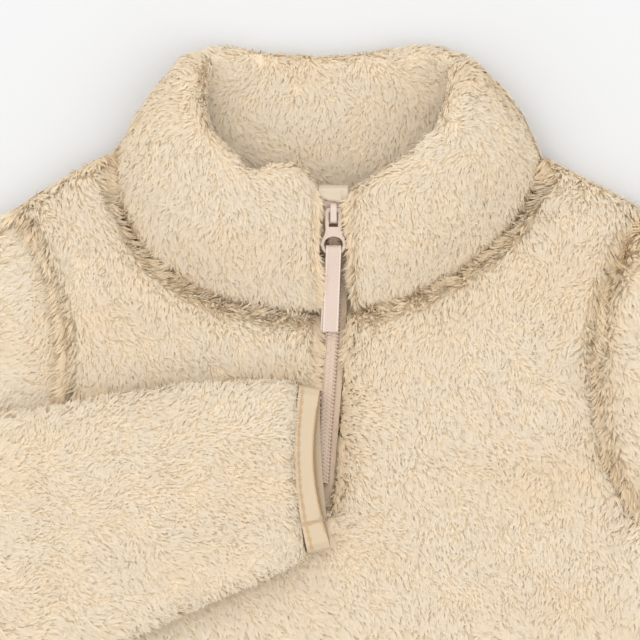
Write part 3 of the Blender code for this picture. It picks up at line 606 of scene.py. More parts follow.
# %% The pile beside the zip
# The zip's way down the pattern: y, its middle's x, half its opening, and how far the pile leans over it from
# the wearer's right and from the wearer's left
ZIP_WAY = np.array([
    (-136.0, -3.6, 4.6, 1.0, 1.0), (-125.0, -3.2, 4.9, 1.0, 0.8), (-110.0, -2.3, 5.2, 1.0, 0.8),
    (-95.0, -1.2, 5.4, 1.4, 1.0), (-86.0, -0.5, 5.4, 2.4, 1.5), (-72.0, 0.5, 5.5, 3.2, 1.6),
    (-64.0, 1.0, 5.5, 2.8, 2.4), (-56.0, 1.2, 5.5, 2.4, 2.9), (-44.0, 1.3, 5.5, 2.2, 2.9),
    (-39.0, 1.3, 5.5, 1.6, 2.3), (-35.0, 1.3, 5.5, 0.4, 1.5), (-28.0, 1.3, 5.5, 1.2, 1.8),
    (-17.0, 1.3, 5.5, 1.0, 2.0), (-8.0, 1.3, 5.5, 0.0, 0.0),
])


def zip_at(y, column):
    """One column of the zip's table at these places down the pattern."""
    return np.interp(y, ZIP_WAY[:, 0], ZIP_WAY[:, column])


def beside_zip(spots):
    """1 at the edges of the zip's slit, falling to 0 about 3 mm from them."""
    flat = on_pattern(spots)
    off = np.abs(flat[:, 0] - zip_at(flat[:, 1], 1))
    near = np.clip(1.25 - (off - zip_at(flat[:, 1], 2)) / 2.4, 0, 1)
    return near * (flat[:, 1] > -134) * (flat[:, 1] < -11) * (flat[:, 2] > 4)


def over_the_zip(spots):
    """How far the pile beside the zip leans over it, in metres along x."""
    flat = on_pattern(spots)
    lean = np.where(flat[:, 0] < zip_at(flat[:, 1], 1), zip_at(flat[:, 1], 3), -zip_at(flat[:, 1], 4))
    return lean * beside_zip(spots) * MM


print("the zip runs from", ZIP_WAY[-1, 0], "to", ZIP_WAY[0, 0], "mm down the pattern")

# %% [markdown]
# Roots are scattered over each surface by area. A tip then moves towards the tip of a chosen neighbour, the
# middle of its clump, which gives the fleece its small tufts.

# %% Scattering roots and gathering tips
def closely_seen(points):
    """1 inside the photograph's frame, falling to 0 a little outside it."""
    flat = on_pattern(points)
    beyond = np.maximum.reduce([-116 - flat[:, 0], flat[:, 0] - 109, -173 - flat[:, 1], flat[:, 1] - 46])
    return np.clip(1 - beyond / 12, 0, 1)


def scattered(node, rng):
    """Random spots over a piece: their places, those on the plain solid, normals and how closely they are seen."""
    points, triangles, normals, uncreased = SURFACES[node]
    across = face_normals(points, triangles)
    area = np.linalg.norm(across, axis=1) / 2
    centres = points[triangles].mean(1)
    close = closely_seen(centres)
    wanted = area * 1e6 * (FAR_PER_MM2 + (CLOSE_PER_MM2[node] - FAR_PER_MM2) * close)
    low_down = (across[:, 2] < -0.6 * 2 * area) & (centres[:, 2] < 3 * MM)
    wanted[low_down] = 0
    counts = rng.poisson(wanted)
    chosen = np.repeat(np.arange(len(triangles)), counts)
    u, v = rng.random((2, len(chosen)))
    flip = u + v > 1
    u[flip], v[flip] = 1 - u[flip], 1 - v[flip]
    corner = triangles[chosen]
    shares = np.stack([1 - u - v, u, v], 1)
    spots = (points[corner] * shares[:, :, None]).sum(1)
    plain = (uncreased[corner] * shares[:, :, None]).sum(1)
    upward = (normals[corner] * shares[:, :, None]).sum(1)
    upward /= np.linalg.norm(upward, axis=1)[:, None]
    return spots, plain, upward, close[chosen]


def drawn_together(spots, tips, clump_size, strength, rng):
    """The pull of tips towards the tip of a chosen neighbour, and which clump each is in."""
    chosen = rng.random(len(spots)) < clump_size
    leaders = np.flatnonzero(chosen)
    tree = KDTree(len(leaders))
    for k, index in enumerate(leaders):
        tree.insert(Vector(spots[index]), k)
    tree.balance()
    nearest = np.array([tree.find(Vector(spot))[1] for spot in spots])
    return (tips[leaders[nearest]] - tips) * strength, nearest


print("helpers for the roots are ready")

# %% [markdown]
# A lock starts at its root on the backing, rises along the surface's normal and bends over along the nap. In a
# seam it stands straight up from the table instead, and near the zip it is pulled over the tapes.

# %% Growing the locks
def leaning(node, spots, upward):
    """Each lock's lean, along the nap and down the slope, its side direction, the nap's share in it and the tilt."""
    heading = nap(node, spots)
    lean = heading - upward * (heading * upward).sum(1)[:, None]
    size = np.linalg.norm(lean, axis=1)
    outward = upward * (1, 1, 0)
    lean = lean / np.maximum(size, 1e-6)[:, None] + outward * 0.9
    lean -= upward * (lean * upward).sum(1)[:, None]
    lean /= np.linalg.norm(lean, axis=1)[:, None] + 1e-9
    return lean, np.cross(lean, upward), size, np.linalg.norm(outward, axis=1)


def tufts(spots, tips, big, rng):
    """The pull of the tips into small and larger tufts, and the tone of each lock's small tuft."""
    small_pull, leader = drawn_together(spots, tips, 0.06, 0.30, rng)
    tone_of_clump = rng.random(leader.max() + 1)
    large_pull, _ = drawn_together(spots, tips, 0.012, 0.12, rng)
    pull = small_pull + large_pull
    far = np.linalg.norm(pull, axis=1)
    return pull * np.minimum(1, PULL_LIMIT * big / np.maximum(far, 1e-9))[:, None], tone_of_clump[leader]


def locks_of(node, seed):
    """All the locks of one piece: three points a lock, its side direction, width, normal, tone with the seams' painted
    shade, and closeness.
    """
    rng = np.random.default_rng(seed)
    spots, plain, upward, close = scattered(node, rng)
    seam, across = seam_share(node, plain, upward, 5.0 * MM)
    seam = np.maximum(seam, 0.8 * beside_zip(plain) * (upward[:, 2] < 0.97))
    free = uncovered(plain, upward, 3.0 * MM, seam)
    spots, plain, upward, close = spots[free], plain[free], upward[free], close[free]
    seam, across = seam[free], across[free]
    wall = free_way(OWN[node], plain, -upward, 12 * MM)
    deep = np.minimum(PILE_HEIGHT, 0.6 * wall) * (1 - 0.8 * seam)
    count = len(spots)
    root = spots - upward * deep[:, None]
    steep = np.clip(1.2 - upward[:, 2], 0, 1)
    standing = (seam * (upward[:, 2] > -0.5))[:, None]
    upward = upward * (1 - standing) + np.array([0, 0, 1.0]) * standing
    upward /= np.linalg.norm(upward, axis=1)[:, None]
    lean, side, size, tilt = leaning(node, spots, upward)
    big = 1 + (1 - close) * 0.7
    height = deep + PILE_HEIGHT * rng.uniform(-0.2, 0.12, count)
    fuller = np.where(upward[:, 2] > 0, np.minimum(tilt, 0.8) * EDGE_FULLER[node] * MM, 0)
    in_seam = SEAM_FULLER * seam * steep + np.linalg.norm(across, axis=1) * SEAM_LIFT[node] * MM
    stray = rng.random(count) < 0.08 + 0.25 * np.clip(tilt, 0, 1)
    turn = rng.normal(0, 0.34, count) + stray * rng.normal(0, 0.8, count)
    lean, side = (
        lean * np.cos(turn)[:, None] + side * np.sin(turn)[:, None],
        side * np.cos(turn)[:, None] - lean * np.sin(turn)[:, None],
    )
    reach = LOCK_REACH * rng.uniform(0.6, 1.25, count) * (0.35 + 0.65 * np.minimum(size * 1.5, 1)) * big
    bend = rng.normal(0, 0.8 * MM, count) * big
    height = height + stray * 1.3 * MM * rng.random(count)
    tips = root + upward * height[:, None] + lean * reach[:, None] + side * bend[:, None]
    pull, tuft_tone = tufts(spots, tips, big, rng)
    pull += across * (ACROSS_SEAM[node] * MM * rng.uniform(0.4, 1.1, count))[:, None]
    pull[:, 0] += over_the_zip(spots)
    way = []
    for t in TIMES:
        rise = 1 - (1 - t) ** 2.2
        place = root + upward * (height * rise)[:, None] + lean * (reach * t**1.35)[:, None]
        place[:, 2] += fuller * rise * (1 - seam) + in_seam * (0.7 + 0.3 * rise)
        way.append(place + side * (bend * t * t)[:, None] + pull * (t**1.5))
    way = np.stack(way, 1)
    way[:, :, 2] = np.maximum(way[:, :, 2], WAY_FLOOR)
    roll = rng.normal(0, 0.3, count)
    flat_side = side * np.cos(roll)[:, None] + upward * np.sin(roll)[:, None]
    width = LOCK_WIDTH * rng.uniform(0.6, 1.3, count) * (1 + (1 - close) * 1.6) * np.where(stray, 0.45, 1)
    tone_and_shade = np.clip(0.45 * rng.random(count) + 0.35 * tuft_tone + 0.2 * waves(spots, 30 * MM, 9), 0, 1)
    # Locks in a seam and those leaning over it turn to the warm colour: painted shade in the seam's valley.
    tone_and_shade += 1.5 * np.maximum(seam, 0.8 * np.linalg.norm(across, axis=1))
    return way, flat_side, width, upward, tone_and_shade, close


print("locks are ready to grow")

# %% [markdown]
# All the locks of a piece become one mesh. Its points are written at once from arrays, which is far quicker than
# one lock at a time. The normals are given: they follow the soft surface, and only a little of each
# strip's own direction, so the pile is shaded as one plush body and not as thousands of flat chips.

# %% The mesh of the locks
def into_scene(name, mesh, finish, node=None, body="garment"):
    """One piece of the scene: its finish, the body it rides on, and the solid that it stands for."""
    mesh.materials.append(finish)
    piece = bpy.data.objects.new(name, mesh)
    bpy.context.scene.collection.objects.link(piece)
    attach(piece, body)
    if node:
        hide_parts(node)
    return piece


def lock_mesh(name, locks, chosen):
    """One mesh of strips, with the shading of the soft surface rather than of each strip."""
    way, side, width, upward, tone_and_shade = (part[chosen] for part in locks[:5])
    count = len(way)
    facing = np.sign((np.cross(side, way[:, 2] - way[:, 0]) * upward).sum(1))
    side = side * np.where(facing == 0, 1, facing)[:, None]
    points = np.zeros((count, 5, 3))
    for k in range(2):
        half = side * (width * WIDTHS[k] / 2)[:, None]
        points[:, 2 * k] = way[:, k] - half
        points[:, 2 * k + 1] = way[:, k] + half
    points[:, 4] = way[:, 2]
    points[:, :, 2] = np.maximum(points[:, :, 2], CORNER_FLOOR)
    pattern = np.array([(0, 1, 3), (0, 3, 2), (2, 3, 4)])
    triangles = (np.arange(count)[:, None, None] * 5 + pattern[None]).reshape(-1, 3)
    mesh = bpy.data.meshes.new(name)
    mesh.vertices.add(count * 5)
    mesh.vertices.foreach_set("co", points.reshape(-1))
    mesh.loops.add(len(triangles) * 3)
    mesh.loops.foreach_set("vertex_index", triangles.reshape(-1))
    mesh.polygons.add(len(triangles))
    mesh.polygons.foreach_set("loop_start", np.arange(len(triangles)) * 3)
    mesh.update(calc_edges=True)
    mesh.polygons.foreach_set("use_smooth", np.ones(len(triangles), bool))
    along = np.tile(TIMES[[0, 0, 1, 1, 2]], count)
    mesh.attributes.new("along", "FLOAT", "POINT").data.foreach_set("value", along)
    mesh.attributes.new("tone_and_shade", "FLOAT", "POINT").data.foreach_set("value", np.repeat(tone_and_shade, 5))
    own = np.cross(side, way[:, 2] - way[:, 0])
    own /= np.linalg.norm(own, axis=1)[:, None] + 1e-12
    soft = upward * 0.92 + own * 0.08
    soft[:, 2] += 0.6 * np.clip(0.8 - upward[:, 2], 0, 0.8)
    soft /= np.linalg.norm(soft, axis=1)[:, None]
    mesh.normals_split_custom_set_from_vertices(np.repeat(soft, 5, axis=0).tolist())
    print(name, count, "locks,", len(triangles), "triangles")
    return into_scene(name, mesh, PILE)


print("a lock has", len(TIMES), "points along it")

# %% [markdown]
# The creased surfaces come first, for all five pieces of fleece. Beside a seam the surface is plumped up, which
# keeps the valley between two pieces shallow.

# %% Creased surfaces
LONGEST = {"front_panel": 9.0, "back_panel": 14.0, "collar": 4.5, "sleeve_left": 9.0, "sleeve_right": 8.0}
CREASE_BASE = 0.22 * MM
# How far the plump edges beside a seam fill its valley, in millimetres
SEAM_RAISED = {"front_panel": 3.6, "back_panel": 1.0, "collar": 0.0, "sleeve_left": 2.8, "sleeve_right": 2.8}
SURFACES = {}
for node in FLEECE:
    points, triangles = finer(node, LONGEST[node] * MM)
    normals = vertex_normals(points, triangles)
    up_share = np.clip(normals[:, 2] * 1.4, 0, 1)
    sink = crease_depth(node, points) + CREASE_BASE * (1 + waves(points, 22 * MM, 3))
    creased = points - np.stack([np.zeros(len(points))] * 2 + [sink * up_share], 1)
    in_seam = seam_share(node, points, normals, 6.0 * MM)[0]
    creased[:, 2] += SEAM_RAISED[node] * MM * in_seam * np.clip(normals[:, 2] + 1, 0, 1)
    SURFACES[node] = (creased, triangles, normals, points)
    print(node, len(points), "points,", len(triangles), "triangles")

# %% [markdown]
# The backing is a thin shell below the pile. It keeps the solid's inner side and lies in from its outer side.

# %% Backings
BACKING_IN = 1.15 * MM
# How near another solid has to be for the backing to close up towards it, and by how much it does
BESIDE_REACH, BESIDE_OUT = 1.2 * MM, 0.12 * MM


def backing(node):
    """The shell of knitted cloth under one piece's pile. The collar's is left open at its foot."""
    points, triangles, normals, uncreased = SURFACES[node]
    hollow = free_way(OWN[node], uncreased, normals, 7 * MM) < 7 * MM
    wall = free_way(OWN[node], uncreased, -normals, 12 * MM)
    inset = np.minimum(BACKING_IN, 0.42 * wall) * ~hollow
    beside = free_way(SOLIDS, uncreased, normals, BESIDE_REACH) < BESIDE_REACH
    for _ in range(2):
        total, uses = inset.copy(), np.ones(len(inset))
        for k in range(3):
            a, b = triangles[:, k], triangles[:, (k + 1) % 3]
            np.add.at(total, a, inset[b])
            np.add.at(uses, a, 1)
        inset = np.where(hollow, 0, total / uses)
    inset = np.where(beside & ~hollow, -BESIDE_OUT, inset)
    moved = points - normals * inset[:, None]
    moved[:, 2] = np.maximum(moved[:, 2], 0.3 * MM)
    if node == "collar":
        open_foot = uncovered(uncreased, normals, 2 * MM)
        triangles = triangles[open_foot[triangles].any(1)]
    mesh = bpy.data.meshes.new("backing_" + node)
    mesh.from_pydata(moved.tolist(), [], triangles.tolist())
    mesh.shade_smooth()
    mesh.attributes.new("close", "FLOAT", "POINT").data.foreach_set("value", closely_seen(points))
    return into_scene("backing_" + node, mesh, BACKING, node)


BACKINGS = {node: backing(node) for node in FLEECE}
print("backings:", list(BACKINGS))

# %% [markdown]
# Then the pile of each piece. A large piece has its pile in two meshes, close and far.

# %% Pile
PILES = {}
for seed, node in enumerate(FLEECE):
    locks = locks_of(node, 40 + seed)
    near = locks[5] > 0.5
    PILES[node] = [lock_mesh("pile_" + node, locks, near)]
    if (~near).sum() > 0:
        PILES[node].append(lock_mesh("pile_outer_" + node, locks, ~near))
print("pieces of pile:", sum(len(pieces) for pieces in PILES.values()))

# %% [markdown]
# The small parts are close to the camera. The binding, the tapes, the ribbon tab and the zip's cover are cloth
# of four kinds. The slider and its puller are painted metal, and the coil is nylon.

# %% Finishes of the small parts
def dyed(tree, size, light, dark):
    node = tree.nodes.new("ShaderNodeGroup")
    node.node_tree = DYE
    node.inputs["Size"].default_value = size
    node.inputs["Light"].default_value = (*light, 1)
    node.inputs["Dark"].default_value = (*dark, 1)
    return node.outputs["Color"], node.outputs["Speck"]


def woven_shaded_finish(name, light, dark, across, down, skew=0.0, depth=0.12, size=90.0, roughness=0.85):
    """Threads per millimetre across and down. Between the threads the colour darkens towards the dark tone: painted
    shade. Halfway to it is the dye's darker tone.
    """
    material, tree, shader = blank_finish(name)
    base, _ = dyed(tree, size, light, [0.5 * (a + b) for a, b in zip(light, dark)])
    weave = tree.nodes.new("ShaderNodeGroup")
    weave.node_tree = WEAVE
    for socket, value in (("Across", across / MM), ("Down", down / MM), ("Skew", skew)):
        weave.inputs[socket].default_value = value
    height = weave.outputs["Height"]
    low = math_node(tree, "SUBTRACT", 1.0, height)
    share = math_node(tree, "MULTIPLY", low, 0.55)
    tree.links.new(colour_mix(tree, share, base, (*dark, 1)), shader.inputs["Base Color"])
    bumped(tree, shader, height, depth)
    shader.inputs["Roughness"].default_value = roughness
    shader.inputs["Specular IOR Level"].default_value = 0.2
    return material


def smooth_finish(name, light, dark, roughness, size=80.0, depth=0.02, spread=0.1):
    """A hard or shiny finish: a faint unevenness of its colour and of its gloss."""
    material, tree, shader = blank_finish(name)
    base, speck = dyed(tree, size, light, dark)
    tree.links.new(base, shader.inputs["Base Color"])
    varied = math_node(tree, "MULTIPLY", speck, spread)
    tree.links.new(math_node(tree, "ADD", varied, roughness - spread / 2), shader.inputs["Roughness"])
    bumped(tree, shader, speck, depth)
    return material


BINDING = woven_shaded_finish("elastic binding", (0.63, 0.51, 0.365), (0.56, 0.44, 0.295), 1.6, 0.9, depth=0.04)
# The binding's inside is the same elastic in a darker colour: painted shade.
BINDING_SHADED_INSIDE = woven_shaded_finish("elastic binding with painted shade inside", (0.60, 0.44, 0.27), (0.46, 0.31, 0.17), 1.6, 0.9, depth=0.06)
# The tapes' colour is their own tan, darkened further: painted shade, as they lie deep beside the pile and the cuff.
TAPE_SHADED = woven_shaded_finish("zip tape", (0.66, 0.525, 0.40), (0.53, 0.405, 0.295), 1.5, 1.9, 0.6, depth=0.08)
COIL = smooth_finish("coil nylon", (0.70, 0.56, 0.45), (0.62, 0.485, 0.385), 0.5)
COIL_CORE = smooth_finish("coil core", (0.70, 0.56, 0.45), (0.62, 0.49, 0.39), 0.6)
STOP = smooth_finish("dark stop", (0.34, 0.22, 0.16), (0.26, 0.16, 0.11), 0.45)
RIBBON = woven_shaded_finish("pull ribbon", (0.71, 0.58, 0.50), (0.61, 0.475, 0.41), 2.6, 1.3, depth=0.09)
SELVEDGE = woven_shaded_finish("ribbon selvedge", (0.80, 0.70, 0.61), (0.70, 0.59, 0.51), 3.0, 1.3, depth=0.08)
COVER = woven_shaded_finish("cover cloth", (0.67, 0.57, 0.45), (0.60, 0.48, 0.36), 2.4, 2.4, depth=0.04)
PAINTED = smooth_finish("painted metal", (0.70, 0.575, 0.49), (0.66, 0.53, 0.44), 0.34, depth=0.008)
THREAD = smooth_finish("thread", (0.62, 0.47, 0.34), (0.50, 0.36, 0.25), 0.6, size=400.0)
GREY_THREAD = smooth_finish("grey thread", (0.50, 0.52, 0.55), (0.30, 0.32, 0.36), 0.6, size=400.0)
print("finishes of the small parts are ready")

# %% [markdown]
# Three helpers make the meshes: a solid's own surface cut finer and gently reshaped, a solid with rounded edges,
# and a round thread or wire along a way of points.

# %% Making small parts
def small_piece(name, points, faces, finish, node=None, body="garment", sharp=None):
    mesh = bpy.data.meshes.new(name)
    mesh.from_pydata(np.asarray(points).tolist(), [], [tuple(map(int, face)) for face in faces])
    mesh.shade_smooth()
    if sharp is not None:
        mesh.set_sharp_from_angle(angle=math.radians(sharp))
    return into_scene(name, mesh, finish, node, body)


def refined(name, node, longest, shape, finish, sharp=50):
    """The node's surface with no edge longer than this many millimetres, moved by shape(pattern points, normals)."""
    points, triangles = finer(node, longest * MM)
    normals = vertex_normals(points, triangles, 1)
    moved = points + shape(on_pattern(points), normals) * MM
    return small_piece(name, moved, triangles, finish, node, sharp=sharp)


def rounded(name, node, offset, finish, body):
    """The node's solid with its sharp edges rounded."""
    work = bmesh.new()
    work.from_mesh(bpy.data.objects[node].data)
    bmesh.ops.remove_doubles(work, verts=work.verts, dist=1e-6)
    bmesh.ops.dissolve_limit(work, angle_limit=math.radians(1), verts=work.verts, edges=work.edges)
    paired = [edge for edge in work.edges if len(edge.link_faces) == 2]
    edges = [edge for edge in paired if edge.calc_face_angle() > math.radians(40)]
    bmesh.ops.bevel(
        work, geom=edges, offset=offset * MM, segments=3, profile=0.5, affect="EDGES", clamp_overlap=True
    )
    bmesh.ops.triangulate(work, faces=work.faces)
    work.verts.index_update()
    points = [tuple(vert.co) for vert in work.verts]
    faces = [[vert.index for vert in face.verts] for face in work.faces]
    work.free()
    return small_piece(name, points, faces, finish, node, body, sharp=35)


def wires(ways, radii, sides=6):
    """Round wires as points and faces. Each way is a row of model points, with a radius in metres at each."""
    points, faces = [], []
    angles = np.linspace(0, 2 * math.pi, sides, endpoint=False)
    for way, radius in zip(ways, radii):
        way = np.asarray(way)
        along = np.gradient(way, axis=0)
        along /= np.linalg.norm(along, axis=1)[:, None] + 1e-12
        helper = np.array([0.0, 0.0, 1.0]) if abs(along[:, 2]).max() < 0.9 else np.array([1.0, 0.0, 0.0])
        one = np.cross(along, helper)
        one /= np.linalg.norm(one, axis=1)[:, None] + 1e-12
        two = np.cross(along, one)
        start = len(points)
        for k in range(len(way)):
            ring = one[k] * np.cos(angles)[:, None] + two[k] * np.sin(angles)[:, None]
            points += list(way[k] + ring * radius[k])
        for k in range(len(way) - 1):
            for i in range(sides):
                a, b = start + k * sides + i, start + k * sides + (i + 1) % sides
                faces.append((b, a, a + sides, b + sides))
        faces.append(tuple(start + i for i in range(sides)))
        last = start + (len(way) - 1) * sides
        faces.append(tuple(last + i for i in reversed(range(sides))))
    return points, faces


def dropped(tree, x, y):
    """Where a drop from above this point of the pattern lands on a surface, or None beside it."""
    return tree.ray_cast(Vector(laid(x, y, 60)), Vector((0, 0, -1)), 0.1)[0]


def stitches(name, route, surface, long, gap, thick, finish, slant=0.0):
    """A row of stitches along a route of pattern x and y, laid on a piece."""
    route = np.array(route, float)
    legs = np.r_[0, np.cumsum(np.linalg.norm(np.diff(route, axis=0), axis=1))]
    mesh = surface.data
    tree = BVHTree.FromPolygons([v.co for v in mesh.vertices], [tuple(p.vertices) for p in mesh.polygons])
    ways, radii = [], []
    for start in np.arange(0, legs[-1] - long, long + gap):
        way = []
        for share, sink in ((0, -0.25), (0.2, 0.1), (0.5, 0.32), (0.8, 0.1), (1, -0.25)):
            at = start + long * share
            x = np.interp(at, legs, route[:, 0]) + slant * (share - 0.5)
            y = np.interp(at, legs, route[:, 1])
            hit = dropped(tree, x, y)
            if hit is not None:
                way.append(np.array(hit) + np.array([0, 0, thick * sink * MM]))
        if len(way) == 5:
            ways.append(way)
            radii.append(np.array([0.4, 0.9, 1.0, 0.9, 0.4]) * thick / 2 * MM)
    points, faces = wires(ways, radii)
    print(name, len(ways), "stitches")
    return small_piece(name, points, faces, finish)


print("helpers for the small parts are ready")

# %% [markdown]
# The cuffs are bound with a narrow elastic. It is drawn in a little at its stitching and lies in faint ripples.
# Where its two ends are joined, a short seam runs across it.

# %% Cuff bindings
def binding_shape(flat, normals):
    """The folded sleeve's binding: its free rim drawn in, the trough of its stitching, and its cross seam."""
    x, y = flat[:, 0], flat[:, 1]
    share = np.clip((y + 151.4) / 64.0, 0, 1)
    left = np.interp(y, [-152, -149.3, -138.7, -127.3, -115.9, -104.5, -93.1, -87],
                     [-8.2, -8.4, -10.8, -12.5, -13.2, -13.1, -12.2, -11.8])
    across = np.clip((x - left) / 8.0, 0, 1.2)
    moved = np.zeros_like(flat)
    moved[:, 0] = -1.15 * np.sin(math.pi * share) * across
    trough = 0.32 * np.exp(-(((x - left - 1.5) / 0.55) ** 2))
    seam = 0.5 * np.exp(-(((y + 139.7 - 0.2 * (x + 8)) / 0.5) ** 2))
    ripple = 0.10 * np.sin(y * 1.9 + 1.3 * np.sin(y * 0.31)) * np.exp(-(((x - left - 2.0) / 2.6) ** 2))
    lift = (ripple - trough - seam) * np.clip(normals[:, 2], 0, 1)
    return moved + normals * lift[:, None]


def other_binding_shape(flat, normals):
    """The hidden sleeve's binding only ripples."""
    ripple = 0.12 * np.sin((flat[:, 0] - flat[:, 1]) * 1.3) * np.clip(normals[:, 2], 0, 1)
    return normals * ripple[:, None]


def shaded_inside_finish(piece, node, inside):
    """Gives the faces that look into the node's own hollow the second finish, a darker copy: painted shade inside the
    cuff.
    """
    mesh = piece.data
    mesh.materials.append(inside)
    tree = ray_tree([node])
    centres = np.array([polygon.center for polygon in mesh.polygons])
    normals = np.array([polygon.normal for polygon in mesh.polygons])
    facing = free_way(tree, centres, normals, 8 * MM) < 8 * MM
    mesh.polygons.foreach_set("material_index", facing.astype(np.int32))


RIGHT_BINDING = refined("binding_right", "cuff_binding_right", 0.8, binding_shape, BINDING)
LEFT_BINDING = refined("binding_left", "cuff_binding_left", 1.4, other_binding_shape, BINDING)
shaded_inside_finish(RIGHT_BINDING, "cuff_binding_right", BINDING_SHADED_INSIDE)
shaded_inside_finish(LEFT_BINDING, "cuff_binding_left", BINDING_SHADED_INSIDE)
print("bindings:", RIGHT_BINDING.name, LEFT_BINDING.name)

# %% [markdown]
# One row of stitches holds the binding to the sleeve, a second one joins its ends, and a few ends of thread are
# left there.

# %% The cuff's sewing
STITCH_ROUTE = [
    (-10.6, -91), (-11.3, -98), (-11.7, -106), (-11.8, -115), (-11.4, -124), (-10.5, -131), (-9.2, -138.4)
]
JOIN_ROUTE = [(-11.0, -140.3), (-7.5, -139.5), (-4.4, -138.9)]
stitches("binding_stitches", STITCH_ROUTE, RIGHT_BINDING, 1.05, 0.45, 0.34, THREAD, slant=0.35)
stitches("binding_join", JOIN_ROUTE, RIGHT_BINDING, 0.9, 0.4, 0.3, THREAD)
ENDS = [
    [(-3.6, -136.2, 23.5), (-2.9, -137.0, 24.1), (-3.1, -138.0, 24.2), (-2.4, -138.8, 23.8)],
    [(-2.7, -137.4, 23.8), (-1.9, -137.9, 24.3), (-2.2, -138.9, 24.0)],
    [(-3.9, -137.3, 23.7), (-4.4, -138.1, 24.2), (-3.8, -139.0, 23.9)],
]
end_ways = [[laid(*point) for point in way] for way in ENDS]
end_points, end_faces = wires(end_ways, [np.full(len(way), 0.11 * MM) for way in end_ways])
small_piece("thread_ends", end_points, end_faces, GREY_THREAD)
print(len(ENDS), "ends of thread")

# %% [markdown]
# The zip's two tapes are woven. A raised cord runs down each of them, beside the coil.

# %% Tapes
def tape_shape(flat, normals):
    cord = 0.16 * np.exp(-(((np.abs(flat[:, 0] - zip_at(flat[:, 1], 1)) - 3.5) / 0.4) ** 2))
    wave = 0.07 * np.sin(flat[:, 1] * 0.7) + cord
    return normals * (wave * np.clip(normals[:, 2], 0, 1))[:, None]


TAPE_NODES = ["zip_tape_left", "zip_tape_right"]
for node in TAPE_NODES:
    refined(node.replace("zip_", "woven_"), node, 1.0, tape_shape, TAPE_SHADED)
TAPE_TOPS = ray_tree(TAPE_NODES)


def tape_height(x, y):
    """The height of the tapes' upper side in millimetres, or None beside them."""
    hit = dropped(TAPE_TOPS, x, y)
    return None if hit is None else hit.z / MM


print("tapes:", TAPE_NODES)

# %% [markdown]
# The zip is a nylon coil. Each side is one wire wound into loops, sewn to its tape, and the loops of the two
# sides lie between each other along the middle line.

# %% The coil
LOOP_STEP = 1.4
loop_ways, loop_radii = [], []
for step, y in enumerate(np.arange(-124.6, -27.9, LOOP_STEP / 2)):
    side = 1 if step % 2 else -1
    middle = zip_at(y, 1)
    height = tape_height(middle + 0.8, y)
    if height is None:
        continue
    way = []
    for off, rise, lag in ((2.55, 0.35, 1.0), (2.35, 1.0, 0.9), (1.5, 1.28, 0.5), (0.6, 1.34, 0.1), (0.0, 1.2, -0.1),
                           (-0.35, 0.8, -0.12), (-0.3, 0.4, -0.1)):
        way.append(laid(middle + side * off, y - lag, height + rise - 0.05))
    loop_ways.append(way)
    loop_radii.append(np.array([0.34, 0.4, 0.4, 0.4, 0.4, 0.36, 0.3]) * MM)
loop_points, loop_faces = wires(loop_ways, loop_radii, 7)
small_piece("coil_loops", loop_points, loop_faces, COIL, "zip_coil")
refined("coil_core", "zip_coil", 2.0, lambda flat, normals: -0.45 * normals, COIL_CORE)
print(len(loop_ways), "loops of the coil")

# %% [markdown]
# Two rows of sewing on each side hold the coil, and a bar stops the slider at its lower end.

# %% The coil's sewing and its stop
seam_ways, seam_radii = [], []
for off in (-2.75, -1.75, 1.75, 2.75):
    for y in np.arange(-124.6, -28.6, LOOP_STEP):
        x = zip_at(y, 1) + off
        height = tape_height(x, y)
        if height is None:
            continue
        top = height + (0.25 if abs(off) > 2 else 1.55)
        seam_ways.append([laid(x, y, top - 0.2), laid(x, y - 0.35, top), laid(x, y - 0.95, top - 0.15)])
        seam_radii.append(np.array([0.1, 0.14, 0.1]) * MM)
seam_points, seam_faces = wires(seam_ways, seam_radii, 5)
small_piece("coil_sewing", seam_points, seam_faces, THREAD)

stop_x, stop_y = float(zip_at(-125.4, 1)), -125.6
stop_z = tape_height(stop_x + 0.8, stop_y)
stop_way = [laid(stop_x + off, stop_y, stop_z + 1.2) for off in (-2.1, -1.8, 0, 1.8, 2.1)]
stop_points, stop_faces = wires([stop_way], [np.array([0.3, 0.62, 0.62, 0.62, 0.3]) * MM], 10)
small_piece("coil_stop", stop_points, stop_faces, STOP)
print(len(seam_ways), "stitches of the coil")

# %% [markdown]
# The slider and the puller are cast and painted, so their edges are round. Only the puller swings.

# %% Slider and puller
rounded("slider_body", "zip_slider", 0.35, PAINTED, "garment")
rounded("puller_plate", "zip_puller", 0.3, PAINTED, "pull")
print("painted: slider_body, puller_plate")

# %% [markdown]
# The ribbon goes down through the ring and back, with a firmer selvedge along both edges, and its two cut ends
# lie a little apart. One cross section runs along the ribbon's way.

# %% The ribbon tab
HINGE = np.array(frame["joints"][0]["pos_m"])
SLOPE = math.radians(13.8)
DOWN = np.array([0, -math.cos(SLOPE), -math.sin(SLOPE)])
OUT = np.array([0, -math.sin(SLOPE), math.cos(SLOPE)])
TAB_WAY = np.array([
    # down from the hinge, out, and x of the ribbon's middle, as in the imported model
    (47.3, 0.48, -1.2), (40.0, 0.48, -0.9), (30.0, 0.48, -0.5), (22.0, 0.52, -0.2), (19.2, 0.9, -0.1),
    (17.2, 1.25, 0.0), (15.6, 1.3, 0.0), (14.6, 1.15, 0.0), (14.1, 0.6, 0.0), (13.95, 0.0, 0.0),
    (14.1, -0.6, 0.0), (14.6, -1.15, 0.0), (15.6, -1.3, 0.0), (17.2, -1.25, -0.1), (19.2, -0.9, -0.3),
    (22.0, -0.52, -0.5), (30.0, -0.48, -1.0), (40.0, -0.48, -1.7), (47.3, -0.48, -2.0),
])
legs = np.r_[0, np.cumsum(np.linalg.norm(np.diff(TAB_WAY, axis=0), axis=1))]
fine_way = np.arange(0, legs[-1], 0.4)
tab_way = np.stack([np.interp(fine_way, legs, TAB_WAY[:, k]) for k in range(3)], 1)
